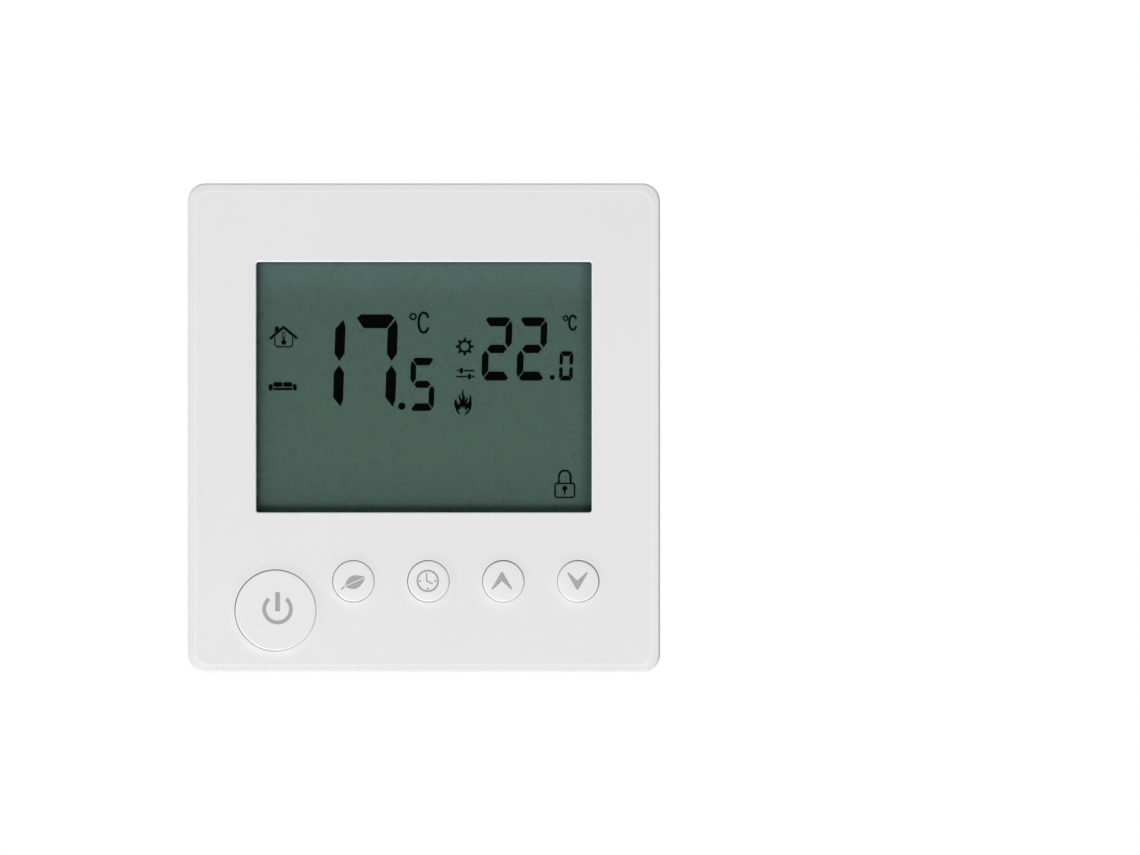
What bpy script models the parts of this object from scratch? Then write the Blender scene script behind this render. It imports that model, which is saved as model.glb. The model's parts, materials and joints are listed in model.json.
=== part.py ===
"""Flush-mounted wall thermostat with a large LCD, one power button and four small buttons.

Frame: +X right and +Z up as seen from the room, +Y into the wall. The origin is the centre of the
cover on the wall surface, so the wall is the plane Y = 0. Lengths are in metres.

Each shape is a loft through rings of points that lie in planes of constant Y. A "front" is the
smaller Y of a piece, on the room side, and a "back" the larger.
"""

import math

import bmesh
import bpy

# Clearances
GAP = 0.0003  # between pieces that rest on each other
SLIDE_GAP = 0.0002  # round a button cap in its hole
PAST = 0.001  # how far a cutter runs past the face that it opens

# Front cover
COVER_WIDTH = 0.0860
COVER_HEIGHT = 0.0890
COVER_FRONT = -0.0135
COVER_BACK = -0.0003
COVER_WALL = 0.0020
COVER_CORNER = 0.0032
RIM_WIDTH = 0.0013
RIM_DROP = 0.00012
EDGE_ROUND = 0.00035
PANEL_BACK = COVER_FRONT + COVER_WALL
VENT_COUNT = 7
VENT_PITCH = 0.0050
VENT_WIDTH = 0.0018
VENT_FRONT = -0.0095
VENT_BACK = -0.0045
RELEASE_WIDTH = 0.0080
RELEASE_DEPTH = 0.0019
RIDGE_WIDTH = 0.0034
RIDGE_FRONT = -0.0040
RIDGE_BACK = -0.0026
RIDGE_HEIGHT = 0.0009

# Display
WINDOW_WIDTH = 0.0611
WINDOW_HEIGHT = 0.0456
WINDOW_Z = 0.0074
LENS_LEDGE = 0.0015
LENS_FRONT = -0.0123
LENS_BACK = PANEL_BACK
GLASS_WIDTH = 0.0660
GLASS_TOP = 0.0324
GLASS_BOTTOM = -0.0176
GLASS_LEDGE = 0.0030
GLASS_FRONT = PANEL_BACK + GAP
GLASS_SPLIT = -0.0101
GLASS_BACK = -0.0089
HOLDER_WALL = 0.0020
GUIDE_SIDE = 0.0315
GUIDE_TOP = 0.0314
GUIDE_BOTTOM = -0.0166
STRIP_BOTTOM = -0.0040
STRIP_TOP = 0.0180
ZEBRA_SIDE = 0.0260

# Control board
BOARD_WIDTH = 0.0798
BOARD_HEIGHT = 0.0808
BOARD_THICKNESS = 0.0016
BOARD_FRONT = -0.0060
BOARD_BACK = BOARD_FRONT + BOARD_THICKNESS
BOSS_X = 0.0375
BOSS_Z = 0.0385
BOSS_RADIUS = 0.0024
PILOT_RADIUS = 0.00125
BOARD_SCREW_RADIUS = 0.00095
BOARD_SCREW_REACH = 0.0062
BOARD_SCREW_HEAD = 0.0021
BOARD_HOLE_RADIUS = 0.0014
CHIP_SIZE = 0.0100
CHIP_HEIGHT = 0.0011
CHIP_PLACE = (-0.0100, -0.0060)
CRYSTAL_LENGTH = 0.0080
CRYSTAL_WIDTH = 0.0030
CRYSTAL_HEIGHT = 0.0012
CRYSTAL_PLACE = (0.0040, -0.0060)
CELL_RADIUS = 0.00625
CELL_HEIGHT = 0.0020
CELL_PLACE = (0.0170, -0.0180)
SENSOR_RADIUS = 0.00125
SENSOR_REACH = 0.0036
SENSOR_PLACE = (0.0300, -0.0388)

# Buttons: name, centre x, centre z and cap radius
SMALL_RADIUS = 0.0037
SMALL_Z = -0.0279
SMALL_FIRST_X = -0.0128
SMALL_PITCH = 0.01364
BUTTONS = [("power", -0.0270, -0.0332, 0.0073)] + [
    (name, SMALL_FIRST_X + i * SMALL_PITCH, SMALL_Z, SMALL_RADIUS)
    for i, name in enumerate(("economy", "clock", "up", "down"))
]
MOUND_HEIGHT = 0.00012
MOUND_WIDTH = 0.0021
CAP_PROUD = 0.00038
CAP_FLANGE = 0.0009
CAP_FRONT = COVER_FRONT - MOUND_HEIGHT - CAP_PROUD
CAP_EDGE = 0.00035
FLANGE_FRONT = PANEL_BACK + GAP
FLANGE_BACK = -0.0102
STEM_RADIUS = 0.0020
STEM_BACK = -0.0099
SWITCH_SIZE = 0.0060
SWITCH_FRONT = -0.0084
WELL_BACK = -0.0072
PLUNGER_RADIUS = 0.00175
PLUNGER_FRONT = STEM_BACK + GAP
PLUNGER_BACK = -0.0079

# Mounting frame
FRAME_WIDTH = 0.0812
FRAME_HEIGHT = 0.0842
FRAME_THICKNESS = 0.0012
FRAME_OPENING = 0.0508
FRAME_CORNER = 0.0010
SCREW_PITCH = 0.0600
SLOT_RADIUS = 0.0023
SLOT_LENGTH = 0.0080
TAB_X = 0.0220
TAB_WIDTH = 0.0100
TAB_FRONT = -0.0050
TAB_NOTCH_WIDTH = 0.0042
TAB_NOTCH_BACK = -0.0022

# Wall screws, M4 x 30
WALL_SCREW_RADIUS = 0.00195
WALL_SCREW_LENGTH = 0.0300
WALL_HEAD_RADIUS = 0.0036
WALL_HEAD_HEIGHT = 0.0022
WALL_TIP_RADIUS = 0.0014
CROSS_REACH = 0.0021
CROSS_WIDTH = 0.0008
CROSS_DEPTH = 0.0012

# Rear housing
HOUSING_SIZE = 0.0500
HOUSING_WALL = 0.0018
HOUSING_FRONT = -0.0015
HOUSING_BACK = 0.0295
HOUSING_CORNER = 0.0030
HOUSING_TAPER = 0.0004
HOUSING_EDGE = 0.0006
HOUSING_INSIDE = HOUSING_SIZE - 2 * HOUSING_WALL
CAVITY_CORNER = 0.0012
CAVITY_BACK = HOUSING_BACK - HOUSING_WALL
EAR_HALF_WIDTH = 0.0045
EAR_REACH = 0.0296
EAR_BACK = 0.0053
EAR_SCREW_Z = 0.0275
EAR_HOLE_RADIUS = 0.0012
EAR_PILOT_RADIUS = 0.00105
EAR_SCREW_RADIUS = 0.00085
EAR_SCREW_REACH = 0.0055
EAR_SCREW_HEAD = 0.0019
LID_BACK = -0.0003
VENT_SLIT = 0.0014
SIDE_VENT_FRONT = 0.0120
SIDE_VENT_BACK = 0.0220
SIDE_VENT_LOWEST = 0.0040
SIDE_VENT_PITCH = 0.0040
LID_VENT_LENGTH = 0.0200
LID_VENT_LOWEST = -0.0160
LID_VENT_PITCH = 0.0040

# Board-to-board connector
HEADER_Z = 0.0140
PIN_PITCH = 0.00254
PIN_SIZE = 0.00064
PIN_COUNT = 5
PIN_BACK = 0.0035
PLUG_BACK = -0.0029
PLUG_WIDTH = 0.0140
PLUG_HEIGHT = 0.0046
SOCKET_FRONT = -0.0009
SOCKET_WIDTH = 0.0160
SOCKET_HEIGHT = 0.0064
SOCKET_MOUTH_WIDTH = 0.0124
SOCKET_MOUTH_HEIGHT = 0.0039
SOCKET_MOUTH_BACK = 0.0044

# Power board and terminals
POWER_SIZE = 0.0456
RELAY_SIZE = (0.0190, 0.0154, 0.0153)
RELAY_PLACE = (-0.0125, 0.0135)
CORE_SIZE = (0.0170, 0.0070, 0.0110)
WINDING_SIZE = (0.0120, 0.0140, 0.0120)
CORE_LIFT = 0.0020
TRANSFORMER_PLACE = (0.0125, 0.0145)
CAPACITOR_RADIUS = 0.0040
CAPACITOR_HEIGHT = 0.0120
CAPACITOR_PLACE = (0.0175, 0.0015)
FUSE_RADIUS = 0.0040
FUSE_HEIGHT = 0.0080
FUSE_PLACE = (-0.0175, -0.0025)
VARISTOR_RADIUS = 0.0050
VARISTOR_THICKNESS = 0.0040
VARISTOR_PLACE = (-0.0055, -0.0025)
POWER_FRONT = 0.0060
POWER_BACK = POWER_FRONT + BOARD_THICKNESS
TERMINAL_COUNT = 6
TERMINAL_PITCH = 0.0074
TERMINAL_X = [(i - (TERMINAL_COUNT - 1) / 2) * TERMINAL_PITCH for i in range(TERMINAL_COUNT)]
TERMINAL_SCREW_Z = -0.0152
TERMINAL_WELL_RADIUS = 0.00195
TERMINAL_BACK = CAVITY_BACK - GAP
BLOCK_BOTTOM = -0.0228
BLOCK_TOP = -0.0090
WIRE_SIZE = 0.0038
WIRE_FRONT = 0.0142
WIRE_BACK = WIRE_FRONT + 0.0036
CLAMP_WIDTH = 0.0054
CLAMP_HEIGHT = 0.0070
CLAMP_FRONT = WIRE_FRONT - 0.0016
CLAMP_BACK = WIRE_BACK + 0.0020
CLAMP_THREAD_RADIUS = 0.00155
POCKET_CLEARANCE = 0.0002
SHAFT_RADIUS = 0.0016
SEAT_Y = TERMINAL_BACK - 0.0050
TERMINAL_SCREW_RADIUS = 0.00125
TERMINAL_HEAD_RADIUS = 0.0017
TERMINAL_HEAD_HEIGHT = 0.0020
SCREWDRIVER_SLOT = 0.0006

# Facets of round pieces
FINE = 40
ROUND = 28
SMALL = 16


def circle(radius, y, centre=(0.0, 0.0), segments=ROUND):
    """A ring round the line through centre (x, z) along Y."""
    x, z = centre
    turns = [2 * math.pi * i / segments for i in range(segments)]
    return [(x + radius * math.cos(a), y, z + radius * math.sin(a)) for a in turns]


def rectangle(x0, x1, z0, z1, y):
    return [(x0, y, z0), (x1, y, z0), (x1, y, z1), (x0, y, z1)]


def rounded(width, height, radius, y, steps=6):
    """A centred rectangle ring with round corners."""
    points = []
    for quarter in range(4):
        corner = math.pi / 2 * quarter
        sign_x = 1 if quarter in (0, 3) else -1
        sign_z = 1 if quarter in (0, 1) else -1
        for i in range(steps + 1):
            a = corner + math.pi / 2 * i / steps
            x = sign_x * (width / 2 - radius) + radius * math.cos(a)
            z = sign_z * (height / 2 - radius) + radius * math.sin(a)
            points.append((x, y, z))
    return points


def loft(*rings):
    """A closed solid through rings of equal length, capped flat at both ends."""
    solid = bmesh.new()
    rows = [[solid.verts.new(point) for point in ring] for ring in rings]
    count = len(rows[0])
    for near, far in zip(rows, rows[1:]):
        for i in range(count):
            j = (i + 1) % count
            solid.faces.new((near[i], near[j], far[j], far[i]))
    solid.faces.new(rows[0])
    solid.faces.new(rows[-1])
    bmesh.ops.recalc_face_normals(solid, faces=solid.faces)
    return solid


def box(x0, x1, z0, z1, front, back):
    return loft(rectangle(x0, x1, z0, z1, front), rectangle(x0, x1, z0, z1, back))


def rod(radius, front, back, centre=(0.0, 0.0), segments=ROUND):
    return loft(
        circle(radius, front, centre, segments),
        circle(radius, back, centre, segments),
    )


def turned(profile, segments=ROUND):
    """A solid turned about the Y axis through its own origin, from (radius, y) pairs."""
    return loft(*(circle(radius, y, segments=segments) for radius, y in profile))


def together(solids):
    """One bmesh that holds several solids that don't touch."""
    mesh = bpy.data.meshes.new("together")
    joined = bmesh.new()
    for solid in solids:
        solid.to_mesh(mesh)
        joined.from_mesh(mesh)
        solid.free()
    bpy.data.meshes.remove(mesh)
    return joined


def material(name, colour, roughness, metallic=0.0):
    """A Principled material of this name, made once."""
    found = bpy.data.materials.get(name)
    if found:
        return found
    made = bpy.data.materials.new(name)
    made.use_nodes = True
    shader = made.node_tree.nodes["Principled BSDF"]
    shader.inputs["Base Color"].default_value = (*colour, 1.0)
    shader.inputs["Roughness"].default_value = roughness
    shader.inputs["Metallic"].default_value = metallic
    return made


def white_abs():
    return material("white_abs", (0.80, 0.81, 0.80), 0.40)


def housing_abs():
    return material("housing_abs", (0.76, 0.76, 0.74), 0.50)


def board_green():
    return material("board_green", (0.02, 0.16, 0.07), 0.45)


def black_plastic():
    return material("black_plastic", (0.02, 0.02, 0.02), 0.45)


def zinc_steel():
    return material("zinc_steel", (0.62, 0.64, 0.66), 0.35, 1.0)


def yellow_zinc():
    return material("yellow_zinc", (0.72, 0.58, 0.30), 0.30, 1.0)


def brass():
    return material("brass", (0.72, 0.52, 0.22), 0.30, 1.0)


def empty(name, location=(0.0, 0.0, 0.0), parent=None):
    """A pivot or a group that pieces are parented to."""
    made = bpy.data.objects.new(name, None)
    made.empty_display_size = 0.01
    made.location = location
    made.parent = parent
    bpy.context.scene.collection.objects.link(made)
    return made


def piece(name, solid, look, parent, location=(0.0, 0.0, 0.0)):
    """A named sub-part. Its solid is in its own space, whose origin goes to location."""
    mesh = bpy.data.meshes.new(name)
    solid.to_mesh(mesh)
    solid.free()
    mesh.materials.append(look)
    mesh.shade_smooth()
    mesh.set_sharp_from_angle(angle=math.radians(35))
    made = bpy.data.objects.new(name, mesh)
    made.location = location
    made.parent = parent
    bpy.context.scene.collection.objects.link(made)
    return made


def combine(target, solid, operation):
    """Adds solid to the target, or cuts it away, in the target's own space."""
    name = f"{target.name}_{operation.lower()}_{len(target.modifiers)}"
    mesh = bpy.data.meshes.new(name)
    solid.to_mesh(mesh)
    solid.free()
    helper = bpy.data.objects.new(name, mesh)
    helper.location = target.location
    helper.parent = target.parent
    helper.hide_render = True
    helper.display_type = "WIRE"
    bpy.context.scene.collection.objects.link(helper)
    modifier = target.modifiers.new(name, "BOOLEAN")
    modifier.operation = operation
    modifier.object = helper


def add(target, *solids):
    for solid in solids:
        combine(target, solid, "UNION")


def cut(target, *solids):
    combine(target, together(solids), "DIFFERENCE")


def corners(x, z):
    return [(x, z), (-x, z), (-x, -z), (x, -z)]


# Front unit


def cover_shell():
    """The cover's outside: straight sides, a small round edge, then the sloping rim."""
    slope_start = COVER_FRONT + RIM_DROP
    rings = [rounded(COVER_WIDTH, COVER_HEIGHT, COVER_CORNER, COVER_BACK)]
    for a in (0, 30, 60):
        inset = EDGE_ROUND * (1 - math.cos(math.radians(a)))
        y = slope_start + EDGE_ROUND * (1 - math.sin(math.radians(a)))
        width = COVER_WIDTH - 2 * inset
        height = COVER_HEIGHT - 2 * inset
        rings.append(rounded(width, height, COVER_CORNER - inset, y))
    width = COVER_WIDTH - 2 * RIM_WIDTH
    height = COVER_HEIGHT - 2 * RIM_WIDTH
    rings.append(rounded(width, height, COVER_CORNER - RIM_WIDTH, COVER_FRONT))
    return loft(*rings)


def button_mound(x, z, radius, segments):
    """The low collar that rises from the cover's face to a button hole."""
    return loft(
        circle(radius + MOUND_WIDTH, COVER_FRONT + GAP, (x, z), segments),
        circle(radius + MOUND_WIDTH, COVER_FRONT, (x, z), segments),
        circle(radius + 2 * SLIDE_GAP, COVER_FRONT - MOUND_HEIGHT, (x, z), segments),
    )


def facets(radius):
    return FINE if radius > SMALL_RADIUS else ROUND


def cover_vents():
    """Slots through the top and bottom walls, which let room air past the sensor."""
    reach = COVER_WALL + PAST
    slots = []
    for i in range(VENT_COUNT):
        left = (i - (VENT_COUNT - 1) / 2) * VENT_PITCH - VENT_WIDTH / 2
        for z in (COVER_HEIGHT / 2, -COVER_HEIGHT / 2):
            slots.append(box(left, left + VENT_WIDTH, z - reach, z + reach, VENT_FRONT, VENT_BACK))
    return slots


def snap_ridge(x, side):
    """A ridge inside the top or bottom wall, which sits in a catch tab's notch."""
    inner = COVER_HEIGHT / 2 - COVER_WALL
    low, high = sorted((side * (inner - RIDGE_HEIGHT), side * (inner + COVER_WALL / 2)))
    return box(x - RIDGE_WIDTH / 2, x + RIDGE_WIDTH / 2, low, high, RIDGE_FRONT, RIDGE_BACK)


def cover_cavity():
    width = COVER_WIDTH - 2 * COVER_WALL
    height = COVER_HEIGHT - 2 * COVER_WALL
    corner = COVER_CORNER - COVER_WALL
    return loft(
        rounded(width, height, corner, PANEL_BACK, 3),
        rounded(width, height, corner, PAST, 3),
    )


def window_cut(margin, front):
    """A cutter as large as the window and this margin, from front to past the panel's back."""
    side = WINDOW_WIDTH / 2 + margin
    low = WINDOW_Z - WINDOW_HEIGHT / 2 - margin
    high = WINDOW_Z + WINDOW_HEIGHT / 2 + margin
    return box(-side, side, low, high, front, PANEL_BACK + PAST)


def button_hole(x, z, radius):
    return rod(radius + SLIDE_GAP, COVER_FRONT - PAST, PANEL_BACK + PAST, (x, z), facets(radius))


def release_notch():
    """The screwdriver notch in the bottom wall's back edge."""
    half = RELEASE_WIDTH / 2
    bottom = -COVER_HEIGHT / 2
    inside = bottom + COVER_WALL + PAST
    return box(-half, half, bottom - PAST, inside, COVER_BACK - RELEASE_DEPTH, PAST)


def make_front_cover(parent):
    cover = piece("front_cover", cover_shell(), white_abs(), parent)
    for _, x, z, radius in BUTTONS:
        add(cover, button_mound(x, z, radius, facets(radius)))
    cut(cover, cover_cavity())
    cut(cover, window_cut(0.0, COVER_FRONT - PAST))
    cut(cover, window_cut(LENS_LEDGE, LENS_FRONT - GAP))
    cut(cover, *(button_hole(x, z, radius) for _, x, z, radius in BUTTONS))
    bosses = corners(BOSS_X, BOSS_Z)
    for centre in bosses:
        add(cover, rod(BOSS_RADIUS, PANEL_BACK - GAP, BOARD_FRONT - GAP, centre, SMALL))
    cut(cover, *(rod(PILOT_RADIUS, PANEL_BACK, BOARD_FRONT, centre, SMALL) for centre in bosses))
    for x in (TAB_X, -TAB_X):
        for side in (1, -1):
            add(cover, snap_ridge(x, side))
    cut(cover, *cover_vents())
    cut(cover, release_notch())


def make_display(parent):
    """The clear window, the LCD behind it, and the frame, light and connector behind that."""
    lens_margin = LENS_LEDGE - GAP
    side = WINDOW_WIDTH / 2 + lens_margin
    low = WINDOW_Z - WINDOW_HEIGHT / 2 - lens_margin
    high = WINDOW_Z + WINDOW_HEIGHT / 2 + lens_margin
    clear = material("window_clear", (0.85, 0.90, 0.90), 0.05)
    piece("display_window", box(-side, side, low, high, LENS_FRONT, LENS_BACK), clear, parent)

    side = GLASS_WIDTH / 2
    foot = GLASS_BOTTOM - GLASS_LEDGE
    lcd_look = material("lcd_glass", (0.07, 0.13, 0.10), 0.15)
    front_glass = box(-side, side, foot, GLASS_TOP, GLASS_FRONT, GLASS_SPLIT)
    rear_glass = box(-side, side, GLASS_BOTTOM, GLASS_TOP, GLASS_SPLIT - GAP, GLASS_BACK)
    panel = piece("lcd_panel", front_glass, lcd_look, parent)
    add(panel, rear_glass)

    inner = GLASS_WIDTH / 2 + GAP
    outer = inner + HOLDER_WALL
    bottom = foot - GAP
    top = GLASS_TOP + GAP
    back = BOARD_FRONT - GAP
    ring = box(-outer, outer, bottom - HOLDER_WALL, top + HOLDER_WALL, GLASS_FRONT, back)
    holder = piece("lcd_holder", ring, black_plastic(), parent)
    cut(holder, box(-inner, inner, bottom, top, GLASS_FRONT - PAST, back + PAST))

    guide_look = material("light_guide", (0.85, 0.87, 0.85), 0.30)
    guide = box(-GUIDE_SIDE, GUIDE_SIDE, GUIDE_BOTTOM, GUIDE_TOP, GLASS_BACK + GAP, back)
    piece("light_guide", guide, guide_look, parent)
    strip_look = material("led_strip", (0.90, 0.88, 0.70), 0.40)
    strip = box(GUIDE_SIDE + GAP, inner - GAP, STRIP_BOTTOM, STRIP_TOP, GLASS_BACK + GAP, back)
    piece("backlight_strip", strip, strip_look, parent)
    zebra_look = material("zebra_rubber", (0.12, 0.12, 0.13), 0.70)
    zebra = box(-ZEBRA_SIDE, ZEBRA_SIDE, foot + GAP, GLASS_BOTTOM - GAP, GLASS_SPLIT + GAP, back)
    piece("zebra_strip", zebra, zebra_look, parent)


def pan_screw(radius, reach, head_radius, way):
    """A small pan-head screw from its seat at y = 0. Its shank runs way (1 or -1) along Y."""
    head_height = 0.55 * head_radius
    profile = [
        (radius, way * reach),
        (radius, 0.0),
        (head_radius, 0.0),
        (head_radius, -way * 0.6 * head_height),
        (0.65 * head_radius, -way * head_height),
    ]
    return turned(profile, SMALL)


def make_control_board(parent):
    half_width = BOARD_WIDTH / 2
    half_height = BOARD_HEIGHT / 2
    plate = box(-half_width, half_width, -half_height, half_height, BOARD_FRONT, BOARD_BACK)
    board = piece("control_board", plate, board_green(), parent)
    holes = [
        rod(BOARD_HOLE_RADIUS, BOARD_FRONT - PAST, BOARD_BACK + PAST, centre, SMALL)
        for centre in corners(BOSS_X, BOSS_Z)
    ]
    cut(board, *holes)
    for i, (x, z) in enumerate(corners(BOSS_X, BOSS_Z), 1):
        screw = pan_screw(BOARD_SCREW_RADIUS, BOARD_SCREW_REACH, BOARD_SCREW_HEAD, -1)
        piece(f"board_screw_{i}", screw, zinc_steel(), parent, (x, BOARD_BACK + GAP, z))


def centred_box(width, height, depth):
    """A box on the plane y = 0, centred on its own origin, that reaches to y = depth."""
    return box(-width / 2, width / 2, -height / 2, height / 2, 0.0, depth)


def on_back(place):
    """Where a part stands on the control board's back."""
    x, z = place
    return (x, BOARD_BACK + GAP, z)


def make_control_parts(parent):
    """What is soldered to the control board, apart from the switches."""
    chip = centred_box(CHIP_SIZE, CHIP_SIZE, CHIP_HEIGHT)
    piece("microcontroller", chip, black_plastic(), parent, on_back(CHIP_PLACE))
    can = centred_box(CRYSTAL_LENGTH, CRYSTAL_WIDTH, CRYSTAL_HEIGHT)
    piece("clock_crystal", can, zinc_steel(), parent, on_back(CRYSTAL_PLACE))
    rim = 0.7 * CELL_HEIGHT
    cell = turned([(CELL_RADIUS, 0.0), (CELL_RADIUS, rim), (0.84 * CELL_RADIUS, CELL_HEIGHT)], SMALL)
    piece("backup_cell", cell, zinc_steel(), parent, on_back(CELL_PLACE))
    profile = [
        (0.5 * SENSOR_RADIUS, -SENSOR_REACH),
        (SENSOR_RADIUS, -0.8 * SENSOR_REACH),
        (SENSOR_RADIUS, -0.3 * SENSOR_REACH),
        (0.6 * SENSOR_RADIUS, 0.0),
    ]
    epoxy = material("sensor_epoxy", (0.02, 0.02, 0.02), 0.25)
    x, z = SENSOR_PLACE
    piece("room_sensor", turned(profile, SMALL), epoxy, parent, (x, BOARD_FRONT - GAP, z))


def make_switch(name, x, z, parent):
    """A square switch body with a round well, in which its plunger moves."""
    half = SWITCH_SIZE / 2
    body = box(-half, half, -half, half, SWITCH_FRONT, BOARD_FRONT - GAP)
    switch = piece(f"{name}_switch", body, black_plastic(), parent, (x, 0.0, z))
    cut(switch, rod(PLUNGER_RADIUS + SLIDE_GAP, SWITCH_FRONT - PAST, WELL_BACK, segments=SMALL))


def make_button(name, x, z, radius, parent):
    """A cap and its switch plunger on one pivot, and the switch body on the front unit."""
    pivot = empty(f"{name}_press", (x, 0.0, z), parent)
    profile = [
        (radius - CAP_EDGE, CAP_FRONT),
        (radius, CAP_FRONT + CAP_EDGE),
        (radius, FLANGE_FRONT),
        (radius + CAP_FLANGE, FLANGE_FRONT),
        (radius + CAP_FLANGE, FLANGE_BACK),
        (STEM_RADIUS, FLANGE_BACK),
        (STEM_RADIUS, STEM_BACK),
    ]
    piece(f"{name}_button", turned(profile, facets(radius)), white_abs(), pivot)
    tip = turned([(PLUNGER_RADIUS, PLUNGER_FRONT), (PLUNGER_RADIUS, PLUNGER_BACK)], SMALL)
    piece(f"{name}_plunger", tip, black_plastic(), pivot)
    make_switch(name, x, z, parent)


def make_header_plug(parent):
    """Two rows of pins in a flat body on the control board's back."""
    reach = (PIN_COUNT - 1) * PIN_PITCH / 2
    half = PIN_SIZE / 2
    side = PLUG_WIDTH / 2
    body = box(-side, side, -PLUG_HEIGHT / 2, PLUG_HEIGHT / 2, BOARD_BACK + GAP, PLUG_BACK)
    plug = piece("header_plug", body, black_plastic(), parent, (0.0, 0.0, HEADER_Z))
    pins = []
    for i in range(PIN_COUNT):
        x = i * PIN_PITCH - reach
        for z in (PIN_PITCH / 2, -PIN_PITCH / 2):
            pins.append(box(x - half, x + half, z - half, z + half, PLUG_BACK - GAP, PIN_BACK))
    combine(plug, together(pins), "UNION")


# Rear unit


def catch_tab(x, side):
    """A tab folded forwards from the plate's top or bottom edge."""
    outer = FRAME_HEIGHT / 2
    low, high = sorted((side * (outer - FRAME_THICKNESS), side * outer))
    return box(x - TAB_WIDTH / 2, x + TAB_WIDTH / 2, low, high, TAB_FRONT, -FRAME_THICKNESS / 2)


def tab_notch(x, side):
    outer = FRAME_HEIGHT / 2
    low, high = sorted((side * (outer - 2 * FRAME_THICKNESS), side * (outer + PAST)))
    half = TAB_NOTCH_WIDTH / 2
    return box(x - half, x + half, low, high, TAB_FRONT - PAST, TAB_NOTCH_BACK)


def screw_slot(x):
    """An upright slot with round ends, so that the frame can be levelled."""
    straight = SLOT_LENGTH / 2 - SLOT_RADIUS
    rings = []
    for y in (-FRAME_THICKNESS - PAST, PAST):
        ring = []
        for end in (1, -1):
            for i in range(SMALL // 2 + 1):
                a = math.pi * i / (SMALL // 2) + (0 if end > 0 else math.pi)
                dx = SLOT_RADIUS * math.cos(a)
                dz = end * straight + SLOT_RADIUS * math.sin(a)
                ring.append((x + dx, y, dz))
        rings.append(ring)
    return loft(*rings)


def make_mounting_frame(parent):
    plate = loft(
        rounded(FRAME_WIDTH, FRAME_HEIGHT, FRAME_CORNER, -FRAME_THICKNESS, 3),
        rounded(FRAME_WIDTH, FRAME_HEIGHT, FRAME_CORNER, 0.0, 3),
    )
    frame = piece("mounting_frame", plate, zinc_steel(), parent)
    places = [(x, side) for x in (TAB_X, -TAB_X) for side in (1, -1)]
    for x, side in places:
        add(frame, catch_tab(x, side))
    cut(frame, *(tab_notch(x, side) for x, side in places))
    half = FRAME_OPENING / 2
    before = -FRAME_THICKNESS - PAST
    openings = [box(-half, half, -half, half, before, PAST)]
    for x in (SCREW_PITCH / 2, -SCREW_PITCH / 2):
        openings.append(screw_slot(x))
    for z in (EAR_SCREW_Z, -EAR_SCREW_Z):
        openings.append(rod(EAR_HOLE_RADIUS, before, PAST, (0.0, z), SMALL))
    cut(frame, *openings)


def make_wall_screw(name, x, parent):
    """A pan-head machine screw through the frame's slot. Its origin is under its head."""
    tip = 2 * WALL_TIP_RADIUS
    profile = [
        (0.62 * WALL_HEAD_RADIUS, -WALL_HEAD_HEIGHT),
        (0.86 * WALL_HEAD_RADIUS, -0.8 * WALL_HEAD_HEIGHT),
        (WALL_HEAD_RADIUS, -0.4 * WALL_HEAD_HEIGHT),
        (WALL_HEAD_RADIUS, 0.0),
        (WALL_SCREW_RADIUS, 0.0),
        (WALL_SCREW_RADIUS, WALL_SCREW_LENGTH - tip),
        (WALL_TIP_RADIUS, WALL_SCREW_LENGTH - tip + WALL_SCREW_RADIUS - WALL_TIP_RADIUS),
        (WALL_TIP_RADIUS, WALL_SCREW_LENGTH),
    ]
    under_head = -FRAME_THICKNESS - GAP
    screw = piece(name, turned(profile, SMALL), yellow_zinc(), parent, (x, under_head, 0.0))
    arm = CROSS_REACH
    half = CROSS_WIDTH / 2
    bed = CROSS_DEPTH - WALL_HEAD_HEIGHT
    cut(screw, box(-arm, arm, -half, half, -WALL_HEAD_HEIGHT - PAST, bed))
    cut(screw, box(-half, half, -arm, arm, -WALL_HEAD_HEIGHT - PAST, bed))


def make_housing_screw(name, z, parent):
    """A self-tapping screw through the frame into the housing's ear."""
    screw = pan_screw(EAR_SCREW_RADIUS, EAR_SCREW_REACH, EAR_SCREW_HEAD, 1)
    piece(name, screw, zinc_steel(), parent, (0.0, -FRAME_THICKNESS - GAP, z))


def housing_ear(side):
    low, high = sorted((side * (HOUSING_SIZE / 2 - HOUSING_WALL / 2), side * EAR_REACH))
    return box(-EAR_HALF_WIDTH, EAR_HALF_WIDTH, low, high, GAP, EAR_BACK)


def make_rear_housing(parent):
    back_size = HOUSING_SIZE - 2 * HOUSING_TAPER
    end_size = back_size - 2 * HOUSING_EDGE
    shell = loft(
        rounded(HOUSING_SIZE, HOUSING_SIZE, HOUSING_CORNER, HOUSING_FRONT, 4),
        rounded(back_size, back_size, HOUSING_CORNER, HOUSING_BACK - HOUSING_EDGE, 4),
        rounded(end_size, end_size, HOUSING_CORNER - HOUSING_EDGE, HOUSING_BACK, 4),
    )
    housing = piece("rear_housing", shell, housing_abs(), parent)
    add(housing, housing_ear(1), housing_ear(-1))
    cut(
        housing,
        loft(
            rounded(HOUSING_INSIDE, HOUSING_INSIDE, CAVITY_CORNER, HOUSING_FRONT - PAST, 2),
            rounded(HOUSING_INSIDE, HOUSING_INSIDE, CAVITY_CORNER, CAVITY_BACK, 2),
        ),
    )
    for z in (EAR_SCREW_Z, -EAR_SCREW_Z):
        cut(housing, rod(EAR_PILOT_RADIUS, GAP - PAST, EAR_BACK + PAST, (0.0, z), SMALL))
    cut(housing, *terminal_openings())
    cut(housing, *housing_vents())


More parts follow.
